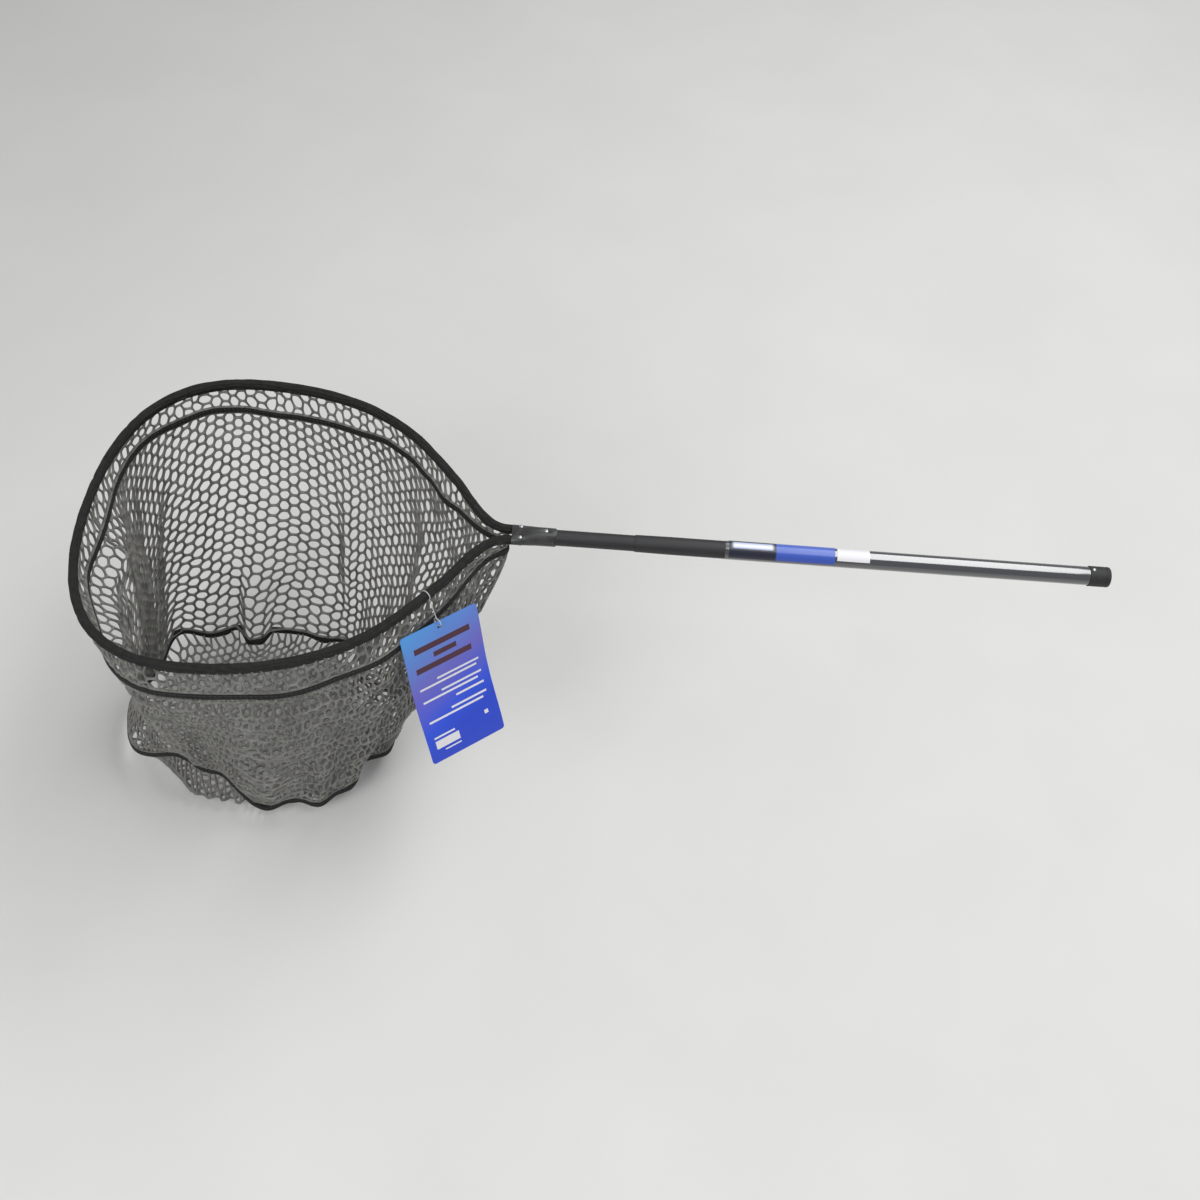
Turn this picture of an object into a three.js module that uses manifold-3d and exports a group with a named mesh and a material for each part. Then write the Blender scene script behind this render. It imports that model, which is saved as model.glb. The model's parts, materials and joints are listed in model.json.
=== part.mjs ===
// Floating landing net: a sealed two-piece handle, a riveted yoke, a tubular hoop in a
// fabric sleeve, and a coated mesh bag with a collar, side walls and a flat floor panel.
// Millimetres, +Z up. The handle lies along X, its butt towards +X and the hoop towards -X.
// The origin is on the handle's axis in the middle of the grip, where a hand holds the net level.
// Inside the assembly group x = 0 is the yoke's mouth, where the hoop's legs leave it.
import * as THREE from 'three';
import { mergeVertices } from 'three/addons/utils/BufferGeometryUtils.js';
import Module from 'manifold-3d';

const wasm = await Module();
wasm.setup();

// Hoop centre line, seen from above
const HOOP_LENGTH = 580; // yoke mouth to the far tip
const HOOP_WIDTH = 520;
const HOOP_WIDEST_AT = 393; // from the yoke mouth
const LEG_SPACING = 19; // between the two legs where they run straight in the yoke
const LEG_LEAD = 2; // straight stretch of leg outside the yoke
const SPLAY_ANGLE = THREE.MathUtils.degToRad(50);
const FLARE_LENGTH = 88; // from the yoke mouth to the steepest point of a leg
const FLARE_RISE = 87; // sideways, from a leg in the yoke to that point
const FLARE_PULL_YOKE = 42; // the pulls are the handles of the leg's curves
const FLARE_PULL_LEG = 36;
const SHOULDER_PULL_LEG = 64;
const SHOULDER_PULL_SIDE = 203;
const TIP_PULL_SIDE = 142;
const TIP_PULL_END = 148;

// Hoop tube, its plugs and its fabric sleeve
const HOOP_TUBE_DIAMETER = 9;
const HOOP_TUBE_WALL = 1.1;
const SLEEVE_WALL = 1.1;
const LEG_INSERT = 24; // leg length inside the yoke
const LEG_PLUG_LENGTH = 20;
const HOOP_STEPS = 64;
const HOOP_SIDES = 8;

// Yoke: two moulded halves riveted over the legs and the shank
const YOKE_LENGTH = 62;
const YOKE_LEG_WALL = 2.8;
const YOKE_MOUTH_WALL = 4.2; // above and below the legs
const LEG_STOP_WALL = 1.5; // between the legs' ends and the shank's end
const YOKE_SHANK_WALL = 1.6;
const YOKE_NECK_AT = 40; // where the yoke becomes round, from the mouth
const YOKE_CROWN_LEAD = 1.4; // above 1 the yoke gains height sooner than it loses width
const YOKE_SECTIONS = 6;
const YOKE_SECTION_POINTS = 24;
const TONGUE_RADIUS = 16; // rounded end of the yoke's halves
const TONGUE_SEGMENTS = 9;
const LEG_RIVET_AT = 12;
const SHANK_RIVET_AT = 47;
const RIVET_DIAMETER = 4;
const RIVET_HEAD_DIAMETER = 6.6;
const RIVET_HEAD_HEIGHT = 1.7;
const RIVET_SEAT_WALL = 2.2; // yoke wall left under a leg rivet's head
const SHANK_SEAT_WALL = 1.1; // yoke wall left under the shank rivet's head

// Handle
const SHANK_DIAMETER = 22;
const SHANK_WALL = 1.4;
const SHANK_PLUG_LENGTH = 40;
const SHANK_SHOW = 107; // bare shank between the yoke and the handle tube
const SOCKET_DEPTH = 60; // shank length inside the handle tube
const HANDLE_WALL = 1.15;
const HANDLE_LENGTH = 642;
const HANDLE_NOSE_WALL = 0.45;
const HANDLE_NOSE_TAPER = 46; // length of the swaged taper at the tube's front end
const GRIP_START = 124; // from the handle tube's front end
const GRIP_WALL = 0.5;
const GRIP_BACK_SET = 2; // the grip stops this far short of the tube's back end
const CAP_PLUG_LENGTH = 24;
const CAP_SKIRT_LENGTH = 13;
const CAP_SKIRT_WALL = 0.9;
const CAP_END_THICKNESS = 16;
const CAP_EDGE_RADIUS = 3;
const CAP_RIVET_INSET = 5; // from the skirt's front edge
const CAP_RIVET_DIAMETER = 3.2;
const CAP_RIVET_DEPTH = 7; // how far it reaches into the cap's plug
const CAP_RIVET_HEAD_DIAMETER = 5;
const CAP_RIVET_HEAD_HEIGHT = 1.2;
const CAP_SEAT_DEPTH = 0.3;
const ROUND_SEGMENTS = 28;
const RIVET_SEGMENTS = 12;
const DOME_STEPS = 3;

// Stickers on the grip, centred on the side that faces up and towards -Y
const LABEL_START = 5; // from the grip's front end
const LABEL_LENGTH = 146;
const LABEL_SPAN = THREE.MathUtils.degToRad(152);
const STICKER_GAP = 3; // between the label and the price sticker
const STICKER_LENGTH = 45;
const STICKER_SPAN = THREE.MathUtils.degToRad(92);
const STICKER_THICKNESS = 0.2;
const STICKER_SEGMENTS = 14;
const STICKER_FACING = THREE.MathUtils.degToRad(103.5); // from +Y over +Z towards -Y

// Bag
const NET_THICKNESS = 2;
const COLLAR_DEPTH = 48;
const COLLAR_NOSE_DEPTH = 14; // the collar is shallower where it closes by the yoke
const COLLAR_RISE_LENGTH = 105; // from the collar's nose to where it has its full depth
const TAPE_HEIGHT = 11;
const TAPE_THICKNESS = 3.2;
const BAG_DEPTH = 475; // hoop axis to the middle of the floor tape
const FLOOR_LENGTH = 412;
const FLOOR_WIDTH = 330;
const FLOOR_OVERHANG = 12; // how far the floor reaches out past the hoop's tip
const FLOOR_SQUARENESS = 2.5; // exponent of the floor's rounded outline
const FLOOR_SAG = 18;
const WALL_TAPER_POWER = 1.3; // above 1 the walls hang straighter near the collar
const BAG_NOSE_AT = 6; // where the collar closes, from the yoke mouth
const BAG_NOSE_LENGTH = 10;
const WALL_OPENINGS_ACROSS = 8; // in each side wall
const WALL_OPENINGS_DOWN = 4;
const WALL_BAR = 18; // netting left between two openings, at the collar
const FLOOR_RINGS = 3;
const NOSE_STEPS = 12; // fine steps, before the lines are divided evenly
const OUTLINE_STEPS = 240;

// Hang tag and its nylon loop
const TAG_WIDTH = 118;
const TAG_HEIGHT = 226;
const TAG_THICKNESS = 0.9;
const TAG_CORNER = 5;
const TAG_SEGMENTS = 4;
const TAG_HOLE_DIAMETER = 6;
const TAG_HOLE_INSET = 9; // hole centre below the tag's top edge
const TAG_FROM_YOKE = 155; // from the yoke's mouth along the near leg to the tag's loop
const TAG_STAND_OFF = 5; // tag's middle outwards from the hoop's axis, before it leans
const TAG_DROP = 44; // tag's top edge below the hoop's axis
const TAG_YAW = THREE.MathUtils.degToRad(37.5); // tag's width direction, from X
const TAG_LEAN = THREE.MathUtils.degToRad(19); // outwards at its foot, as a corner rests on the collar
const TAG_TURN = THREE.MathUtils.degToRad(-4); // in its own plane, about the hole
const TAG_BOW = 8; // tag's middle nearer the bag than its ends
const TAG_BOW_STEPS = 8;
const LOOP_STRAND = 1.4;
const LOOP_EYE_RADIUS = 6;
const LOOP_LEAVES_AT = THREE.MathUtils.degToRad(-55); // on the upper ring, from straight out
const LOOP_SIDES = 6;
const LOOP_SEGMENTS = 18;

// Clearances
const FIT = 0.2; // radial, between fixed round pieces
const SEAM_GAP = 0.3; // between sewn, seated or stacked pieces
const GRIP_FIT = 0.15;
const RIVET_FIT = 0.2;
const SLEEVE_FIT = 0.35; // radial, between hoop tube and fabric sleeve
const CUT = 5; // how far a cutting tool runs past what it cuts

// The distance from the yoke mouth to the origin, in the middle of the bare grip
const GRIP_FROM_MOUTH = 560;

// Worked-out sizes
const legY = LEG_SPACING / 2;
const hoopR = HOOP_TUBE_DIAMETER / 2;
const sleeveInnerR = hoopR + SLEEVE_FIT;
const sleeveR = sleeveInnerR + SLEEVE_WALL;
const legChannelR = hoopR + FIT;
const shankR = SHANK_DIAMETER / 2;
const shankStart = LEG_INSERT + LEG_STOP_WALL;
const shankChannelR = shankR + FIT;
const handleStart = YOKE_LENGTH + SHANK_SHOW;
const handleBoreR = shankR + FIT;
const handleR = handleBoreR + HANDLE_WALL;
const shankEnd = handleStart + SOCKET_DEPTH;
const handleEnd = handleStart + HANDLE_LENGTH;
const gripStart = handleStart + GRIP_START;
const gripEnd = handleEnd - GRIP_BACK_SET;
const gripInnerR = handleR + GRIP_FIT;
const gripR = gripInnerR + GRIP_WALL;
const capPlugStart = handleEnd - CAP_PLUG_LENGTH;
const capInnerR = gripR + FIT;
const capR = capInnerR + CAP_SKIRT_WALL;
const capSkirtStart = handleEnd - CAP_SKIRT_LENGTH;
const capEnd = handleEnd + SEAM_GAP + CAP_END_THICKNESS;
const capRivetAt = capSkirtStart + CAP_RIVET_INSET;
const collarTop = -sleeveR - SEAM_GAP;
const collarBottom = collarTop - COLLAR_DEPTH;
const tapeTop = collarBottom - SEAM_GAP;
const tapeBottom = tapeTop - TAPE_HEIGHT;
const wallTop = tapeBottom - SEAM_GAP;
const floorTapeTop = -BAG_DEPTH + TAPE_HEIGHT / 2;
const wallBottom = floorTapeTop + SEAM_GAP;
const floorCentre = -HOOP_LENGTH - FLOOR_OVERHANG + FLOOR_LENGTH / 2;

// Materials
const finish = (color, roughness, metalness) =>
  new THREE.MeshStandardMaterial({ color, roughness, metalness });
const darkAluminium = finish(0x2a2a2c, 0.5, 0.6);
const bareAluminium = finish(0xb9bbbd, 0.35, 1);
const mouldedNylon = finish(0x232324, 0.45, 0);
const glossyVinyl = finish(0x14151c, 0.15, 0);
const rubber = finish(0x1b1b1c, 0.7, 0);
const foam = finish(0xd9d7cf, 0.9, 0);
const webbing = finish(0x2b2b2a, 0.85, 0);
const coatedMesh = finish(0x55544f, 0.45, 0);
const labelFilm = finish(0x3a57b8, 0.3, 0);
const whitePaper = finish(0xf0eff2, 0.5, 0);
const printedCard = finish(0x3c63d0, 0.35, 0);
const clearNylon = finish(0xe4e6e8, 0.3, 0);

// Solids and cuts

function toSolid(geometry) {
  const bare = geometry.clone();
  bare.deleteAttribute('normal');
  bare.deleteAttribute('uv');
  const merged = mergeVertices(bare, 1e-4);
  const vertProperties = Float32Array.from(merged.attributes.position.array);
  const triVerts = Uint32Array.from(merged.index.array);
  return new wasm.Manifold(new wasm.Mesh({ numProp: 3, vertProperties, triVerts }));
}

function toGeometry(solid) {
  const mesh = solid.getMesh();
  const geometry = new THREE.BufferGeometry();
  geometry.setAttribute('position', new THREE.BufferAttribute(mesh.vertProperties, 3));
  geometry.setIndex(new THREE.BufferAttribute(mesh.triVerts, 1));
  return geometry;
}

function cut(geometry, ...tools) {
  let solid = toSolid(geometry);
  for (const tool of tools) solid = solid.subtract(toSolid(tool));
  return toGeometry(solid);
}

function keep(geometry, tool) {
  return toGeometry(toSolid(geometry).intersect(toSolid(tool)));
}

function join(...geometries) {
  const solids = geometries.map(toSolid);
  return toGeometry(solids.reduce((whole, next) => whole.add(next)));
}

// A body of revolution about X; profile points are [x, radius]
function turned(profile) {
  const points = profile.map(([x, radius]) => new THREE.Vector2(radius, x));
  const geometry = new THREE.LatheGeometry(points, ROUND_SEGMENTS);
  return geometry.rotateZ(-Math.PI / 2);
}

// A plain tube about X
function pipe(start, end, innerR, outerR) {
  return turned([[start, innerR], [start, outerR], [end, outerR], [end, innerR], [start, innerR]]);
}

// A plain rod about X, moved sideways to y
function rod(start, end, radius, y = 0) {
  return turned([[start, 0], [start, radius], [end, radius], [end, 0]]).translate(0, y, 0);
}

// An upright cylinder
function post(x, y, low, high, radius) {
  const geometry = new THREE.CylinderGeometry(radius, radius, high - low, RIVET_SEGMENTS);
  return geometry.rotateX(Math.PI / 2).translate(x, y, (low + high) / 2);
}

function block(lowX, highX, lowY, highY, lowZ, highZ) {
  const geometry = new THREE.BoxGeometry(highX - lowX, highY - lowY, highZ - lowZ);
  return geometry.translate((lowX + highX) / 2, (lowY + highY) / 2, (lowZ + highZ) / 2);
}

// A closed body through sections with equal point counts, its two ends capped
function loft(sections) {
  const count = sections[0].length;
  const positions = sections.flat().flatMap((point) => point.toArray());
  const index = [];
  for (let s = 0; s + 1 < sections.length; s += 1) {
    for (let i = 0; i < count; i += 1) {
      const j = (i + 1) % count;
      const a = s * count + i;
      const b = s * count + j;
      index.push(a, b, b + count, a, b + count, a + count);
    }
  }
  const last = (sections.length - 1) * count;
  for (let i = 1; i + 1 < count; i += 1) {
    index.push(0, i + 1, i, last, last + i, last + i + 1);
  }
  const geometry = new THREE.BufferGeometry();
  geometry.setAttribute('position', new THREE.Float32BufferAttribute(positions, 3));
  geometry.setIndex(index);
  return geometry;
}

// Hoop line

const flat = (x, y) => new THREE.Vector3(x, y, 0);

// One half of the hoop, from the yoke to the tip, on the side that sign gives
function halfHoop(sign) {
  const slope = flat(-Math.cos(SPLAY_ANGLE), sign * Math.sin(SPLAY_ANGLE));
  const mouth = flat(-LEG_LEAD, sign * legY);
  const steep = flat(-FLARE_LENGTH, sign * (legY + FLARE_RISE));
  const side = flat(-HOOP_WIDEST_AT, (sign * HOOP_WIDTH) / 2);
  const tip = flat(-HOOP_LENGTH, 0);
  return [
    new THREE.CubicBezierCurve3(
      mouth,
      flat(mouth.x - FLARE_PULL_YOKE, mouth.y),
      steep.clone().addScaledVector(slope, -FLARE_PULL_LEG),
      steep,
    ),
    new THREE.CubicBezierCurve3(
      steep,
      steep.clone().addScaledVector(slope, SHOULDER_PULL_LEG),
      flat(side.x + SHOULDER_PULL_SIDE, side.y),
      side,
    ),
    new THREE.CubicBezierCurve3(
      side,
      flat(side.x - TIP_PULL_SIDE, side.y),
      flat(tip.x, sign * TIP_PULL_END),
      tip,
    ),
  ];
}

function reversed(curve) {
  return new THREE.CubicBezierCurve3(curve.v3, curve.v2, curve.v1, curve.v0);
}

// The whole hoop, from the far leg's end in the yoke round to the near leg's end
function hoopLine() {
  const path = new THREE.CurvePath();
  path.add(new THREE.LineCurve3(flat(LEG_INSERT, legY), flat(-LEG_LEAD, legY)));
  for (const curve of halfHoop(1)) path.add(curve);
  for (const curve of halfHoop(-1).reverse()) path.add(reversed(curve));
  path.add(new THREE.LineCurve3(flat(-LEG_LEAD, -legY), flat(LEG_INSERT, -legY)));
  return path;
}

// A pipe along the hoop's line, or a rod where it has no inner radius
function hoopPipe(outerR, innerR = 0) {
  const section = new THREE.Shape().absarc(0, 0, outerR, 0, Math.PI * 2);
  if (innerR > 0) {
    section.holes.push(new THREE.Path().absarc(0, 0, innerR, 0, Math.PI * 2, true));
  }
  return new THREE.ExtrudeGeometry(section, {
    steps: HOOP_STEPS,
    curveSegments: HOOP_SIDES / 2,
    extrudePath: hoopLine(),
    bevelEnabled: false,
  });
}

const rivetHole = (x, y) => post(x, y, -shankR * 2, shankR * 2, RIVET_DIAMETER / 2 + RIVET_FIT);

function hoopTube() {
  const holes = [legY, -legY].map((y) => rivetHole(LEG_RIVET_AT, y));
  return cut(hoopPipe(hoopR, hoopR - HOOP_TUBE_WALL), ...holes);
}

// The sleeve follows the tube's own line and stops at the yoke's mouth
function hoopSleeve() {
  const reach = LEG_SPACING + sleeveR;
  const yokeSide = block(-SEAM_GAP, LEG_INSERT + CUT, -reach, reach, -reach, reach);
  return cut(hoopPipe(sleeveR, sleeveInnerR), yokeSide);
}

// A plug in a leg's end, its section the same as the tube's bore
function legPlug(y) {
  const radius = hoopR - HOOP_TUBE_WALL - FIT;
  const start = LEG_INSERT - LEG_PLUG_LENGTH;
  const leg = block(start, LEG_INSERT + CUT, y - hoopR, y + hoopR, -hoopR, hoopR);
  return cut(keep(hoopPipe(radius), leg), rivetHole(LEG_RIVET_AT, y));
}

// Yoke

// An oval section across X
function oval(x, halfWidth, halfHeight) {
  const points = [];
  for (let i = 0; i < YOKE_SECTION_POINTS; i += 1) {
    const angle = (i / YOKE_SECTION_POINTS) * Math.PI * 2;
    points.push(new THREE.Vector3(x, halfWidth * Math.cos(angle), halfHeight * Math.sin(angle)));
  }
  return points;
}

const yokeMouthWidth = legY + legChannelR + YOKE_LEG_WALL;
const yokeMouthHeight = legChannelR + YOKE_MOUTH_WALL;
const yokeNeckR = shankChannelR + YOKE_SHANK_WALL;
const legSeat = legChannelR + RIVET_SEAT_WALL;
const shankSeat = shankChannelR + SHANK_SEAT_WALL;

function yokeBody() {
  const sections = [];
  for (let i = 0; i <= YOKE_SECTIONS; i += 1) {
    const t = i / YOKE_SECTIONS;
    const ease = THREE.MathUtils.smoothstep(t, 0, 1);
    const crown = Math.min(1, ease * YOKE_CROWN_LEAD);
    const halfWidth = THREE.MathUtils.lerp(yokeMouthWidth, yokeNeckR, ease);
    const halfHeight = THREE.MathUtils.lerp(yokeMouthHeight, yokeNeckR, crown);
    sections.push(oval(t * YOKE_NECK_AT, halfWidth, halfHeight));
  }
  sections.push(oval(YOKE_LENGTH, yokeNeckR, yokeNeckR));
  return loft(sections);
}

// The rounded tongue that ends a yoke half, seen from above
function tongue() {
  const outline = new THREE.Shape();
  const halfWidth = yokeMouthWidth + CUT;
  const arcX = YOKE_LENGTH - TONGUE_RADIUS;
  outline.moveTo(-CUT, -halfWidth);
  outline.lineTo(arcX, -halfWidth);
  outline.lineTo(arcX, -TONGUE_RADIUS);
  outline.absarc(arcX, 0, TONGUE_RADIUS, -Math.PI / 2, Math.PI / 2);
  outline.lineTo(arcX, halfWidth);
  outline.lineTo(-CUT, halfWidth);
  outline.closePath();
  const height = yokeNeckR * 2 + CUT * 2;
  const geometry = new THREE.ExtrudeGeometry(outline, {
    depth: height,
    bevelEnabled: false,
    curveSegments: TONGUE_SEGMENTS,
  });
  return geometry.translate(0, 0, -height / 2);
}

// side is 1 for the upper half and -1 for the lower one
function yokeHalf(side) {
  const reach = yokeMouthWidth + CUT;
  const tall = yokeNeckR + CUT;
  const low = side > 0 ? -tall : -SEAM_GAP / 2;
  const otherHalf = block(-CUT, YOKE_LENGTH + CUT, -reach, reach, low, low + tall + SEAM_GAP / 2);
  const legEnd = LEG_INSERT + SEAM_GAP;
  const legStops = [legY, -legY].map((y) => rod(LEG_RIVET_AT, legEnd, legChannelR, y));
  const shank = rod(shankStart - SEAM_GAP, YOKE_LENGTH + CUT, shankChannelR);
  const seatR = RIVET_HEAD_DIAMETER / 2 + SEAM_GAP;
  const seatAt = (x, y, height) =>
    post(x, y, ...(side > 0 ? [height, tall] : [-tall, -height]), seatR);
  const rivets = [
    rivetHole(LEG_RIVET_AT, legY),
    rivetHole(LEG_RIVET_AT, -legY),
    rivetHole(SHANK_RIVET_AT, 0),
    seatAt(LEG_RIVET_AT, legY, legSeat),
    seatAt(LEG_RIVET_AT, -legY, legSeat),
    seatAt(SHANK_RIVET_AT, 0, shankSeat),
  ];
  return cut(keep(yokeBody(), tongue()), otherHalf, hoopPipe(legChannelR), ...legStops, shank, ...rivets);
}

// A rivet along Z with a domed head at each end, seated at plus and minus seat
function rivet(x, y, seat) {
  const headR = RIVET_HEAD_DIAMETER / 2;
  const foot = seat + SEAM_GAP / 2;
  const top = foot + RIVET_HEAD_HEIGHT;
  const half = [[RIVET_DIAMETER / 2, foot], [headR, foot]];
  for (let i = 1; i < DOME_STEPS; i += 1) {
    const angle = (i / DOME_STEPS) * (Math.PI / 2);
    half.push([headR * Math.cos(angle), THREE.MathUtils.lerp(foot, top, Math.sin(angle))]);
  }
  half.push([0, top]);
  const lower = half.map(([radius, z]) => [radius, -z]).reverse();
  const points = [...lower, ...half].map(([radius, z]) => new THREE.Vector2(radius, z));
  return new THREE.LatheGeometry(points, RIVET_SEGMENTS).rotateX(Math.PI / 2).translate(x, y, 0);
}

// Handle

function shankTube() {
  const tube = pipe(shankStart, shankEnd, shankR - SHANK_WALL, shankR);
  return cut(tube, rivetHole(SHANK_RIVET_AT, 0));
}

function shankPlug() {
  const plug = rod(shankStart, shankStart + SHANK_PLUG_LENGTH, shankR - SHANK_WALL - FIT);
  return cut(plug, rivetHole(SHANK_RIVET_AT, 0));
}

const capRivetHole = () =>
  post(capRivetAt, 0, gripR - CAP_RIVET_DEPTH, capR + CUT, CAP_RIVET_DIAMETER / 2 + RIVET_FIT);

function handleTube() {
  const noseR = handleBoreR + HANDLE_NOSE_WALL;
  const tube = turned([
    [handleStart, handleBoreR],
    [handleStart, noseR],
    [handleStart + HANDLE_NOSE_TAPER, handleR],
    [handleEnd, handleR],
    [handleEnd, handleBoreR],
    [handleStart, handleBoreR],
  ]);
  return cut(tube, capRivetHole());
}

function foamCore() {
  return rod(shankEnd + SEAM_GAP, capPlugStart - SEAM_GAP, handleBoreR - FIT);
}

function gripSleeve() {
  return cut(pipe(gripStart, gripEnd, gripInnerR, gripR), capRivetHole());
}

const capSeat = capR - CAP_SEAT_DEPTH;

function buttCap() {
  const plugR = handleBoreR - FIT;
  const web = handleEnd + SEAM_GAP;
  const profile = [
    [capPlugStart, 0],
    [capPlugStart, plugR],
    [web, plugR],
    [web, capInnerR],
    [capSkirtStart, capInnerR],
    [capSkirtStart, capR],
  ];
  for (let i = 0; i <= DOME_STEPS; i += 1) {
    const angle = (i / DOME_STEPS) * (Math.PI / 2);
    const x = capEnd - CAP_EDGE_RADIUS * (1 - Math.sin(angle));
    profile.push([x, capR - CAP_EDGE_RADIUS * (1 - Math.cos(angle))]);
  }
  profile.push([capEnd, 0]);
  const seat = post(capRivetAt, 0, capSeat, capR + CUT, CAP_RIVET_HEAD_DIAMETER / 2 + SEAM_GAP);
  return cut(turned(profile), capRivetHole(), seat);
}

function capRivet() {
  const foot = capSeat + SEAM_GAP / 2;
  const headR = CAP_RIVET_HEAD_DIAMETER / 2;
  const points = [
    [0, gripR - CAP_RIVET_DEPTH + SEAM_GAP],
    [CAP_RIVET_DIAMETER / 2, gripR - CAP_RIVET_DEPTH + SEAM_GAP],
    [CAP_RIVET_DIAMETER / 2, foot],
    [headR, foot],
  ];
  for (let i = 1; i < DOME_STEPS; i += 1) {
    const angle = (i / DOME_STEPS) * (Math.PI / 2);
    points.push([headR * Math.cos(angle), foot + CAP_RIVET_HEAD_HEIGHT * Math.sin(angle)]);
  }
  points.push([0, foot + CAP_RIVET_HEAD_HEIGHT]);
  const profile = points.map(([radius, z]) => new THREE.Vector2(radius, z));
  return new THREE.LatheGeometry(profile, RIVET_SEGMENTS).rotateX(Math.PI / 2).translate(capRivetAt, 0, 0);
}

// A sticker bent round the grip
function sticker(start, length, span) {
  const innerR = gripR + GRIP_FIT;
  const outerR = innerR + STICKER_THICKNESS;
  const shape = new THREE.Shape();
  shape.absarc(0, 0, outerR, STICKER_FACING - span / 2, STICKER_FACING + span / 2);
  shape.absarc(0, 0, innerR, STICKER_FACING + span / 2, STICKER_FACING - span / 2, true);
  shape.closePath();
  const geometry = new THREE.ExtrudeGeometry(shape, {
    depth: length,
    bevelEnabled: false,
    curveSegments: STICKER_SEGMENTS,
  });
  // The shape's x becomes Y, its y becomes Z and its depth runs along +X
  const turn = new THREE.Matrix4().makeBasis(
    new THREE.Vector3(0, 1, 0),
    new THREE.Vector3(0, 0, 1),
    new THREE.Vector3(1, 0, 0),
  );
  return geometry.applyMatrix4(turn).translate(start, 0, 0);
}

// Bag

// Half of the collar's line, from its nose under the yoke to the hoop's tip
function collarHalf() {
  const dense = halfHoop(1).flatMap((curve) => curve.getPoints(OUTLINE_STEPS));
  const noseEnd = BAG_NOSE_AT + BAG_NOSE_LENGTH;
  const outer = dense.filter((point) => point.x <= -noseEnd);
  const nose = [];
  for (let i = 0; i < NOSE_STEPS; i += 1) {
    const angle = (i / NOSE_STEPS) * (Math.PI / 2);
    const x = -noseEnd + BAG_NOSE_LENGTH * Math.cos(angle);
    nose.push(flat(x, outer[0].y * Math.sin(angle)));
  }
  return [...nose, ...outer];
}

// Half of the floor's outline, from the side by the yoke to the side by the tip
function floorHalf() {
  const points = [];
  const power = 2 / FLOOR_SQUARENESS;
  for (let i = 0; i <= OUTLINE_STEPS; i += 1) {
    const angle = (i / OUTLINE_STEPS) * Math.PI;
    const across = Math.sign(Math.cos(angle)) * Math.abs(Math.cos(angle)) ** power;
    const aside = Math.abs(Math.sin(angle)) ** power;
    points.push(flat(floorCentre + (FLOOR_LENGTH / 2) * across, (FLOOR_WIDTH / 2) * aside));
  }
  return points;
}

// Points at shares of the way along a line of many points
function pointsAt(line, shares) {
  const lengths = [0];
  for (let i = 1; i < line.length; i += 1) {
    lengths.push(lengths[i - 1] + line[i].distanceTo(line[i - 1]));
  }
  const total = lengths[lengths.length - 1];
  let at = 0;
  return shares.map((wanted) => {
    while (at + 2 < line.length && lengths[at + 1] < wanted * total) at += 1;
    const share = (wanted * total - lengths[at]) / (lengths[at + 1] - lengths[at]);
    return line[at].clone().lerp(line[at + 1], THREE.MathUtils.clamp(share, 0, 1));
  });
}

function lineLength(line) {
  return line.slice(1).reduce((sum, point, i) => sum + point.distanceTo(line[i]), 0);
}

// Shares of the way across a net of equal bars, with openings between them in equal parts
function barShares(openings, bar, parts) {
  const opening = (1 - (openings + 1) * bar) / openings;
  const shares = [0];
  for (let i = 0; i < openings; i += 1) {
    const start = bar + i * (bar + opening);
    for (let j = 0; j <= parts; j += 1) shares.push(start + (j / parts) * opening);
  }
  return [...shares, 1];
}

// A whole loop from its half: out along +Y to the tip, back along -Y
function mirrored(half) {
  const back = half.slice(1, -1).reverse();
  return [...half, ...back.map((point) => flat(point.x, -point.y))];
}

const openingParts = 2; // an opening is bent once, to follow the bag
const shareOfBar = WALL_BAR / lineLength(collarHalf());
const bagShares = barShares(WALL_OPENINGS_ACROSS, shareOfBar, openingParts);
const collarLoop = mirrored(pointsAt(collarHalf(), bagShares));
const floorLoop = mirrored(pointsAt(floorHalf(), bagShares));

// A loop moved outwards by a distance along its own normals
function offset(loop, distance) {
  return loop.map((point, i) => {
    const before = loop[(i + loop.length - 1) % loop.length];
    const after = loop[(i + 1) % loop.length];
    const along = after.clone().sub(before).normalize();
    return point.clone().add(flat(along.y, -along.x).multiplyScalar(distance));
  });
}

// A ring that blends from the collar's line to the floor's outline, moved outwards
function bagRing(share, distance) {
  const middle = collarLoop.map((point, i) => point.clone().lerp(floorLoop[i], share));
  return offset(middle, distance);
}

// How far the collar's lower edge is lifted at each point of its line, more towards the yoke
const noseLift = collarLoop.map((point) => {
  const share = 1 - (-BAG_NOSE_AT - point.x) / COLLAR_RISE_LENGTH;
  return (COLLAR_DEPTH - COLLAR_NOSE_DEPTH) * THREE.MathUtils.smoothstep(share, 0, 1);
});

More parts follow.
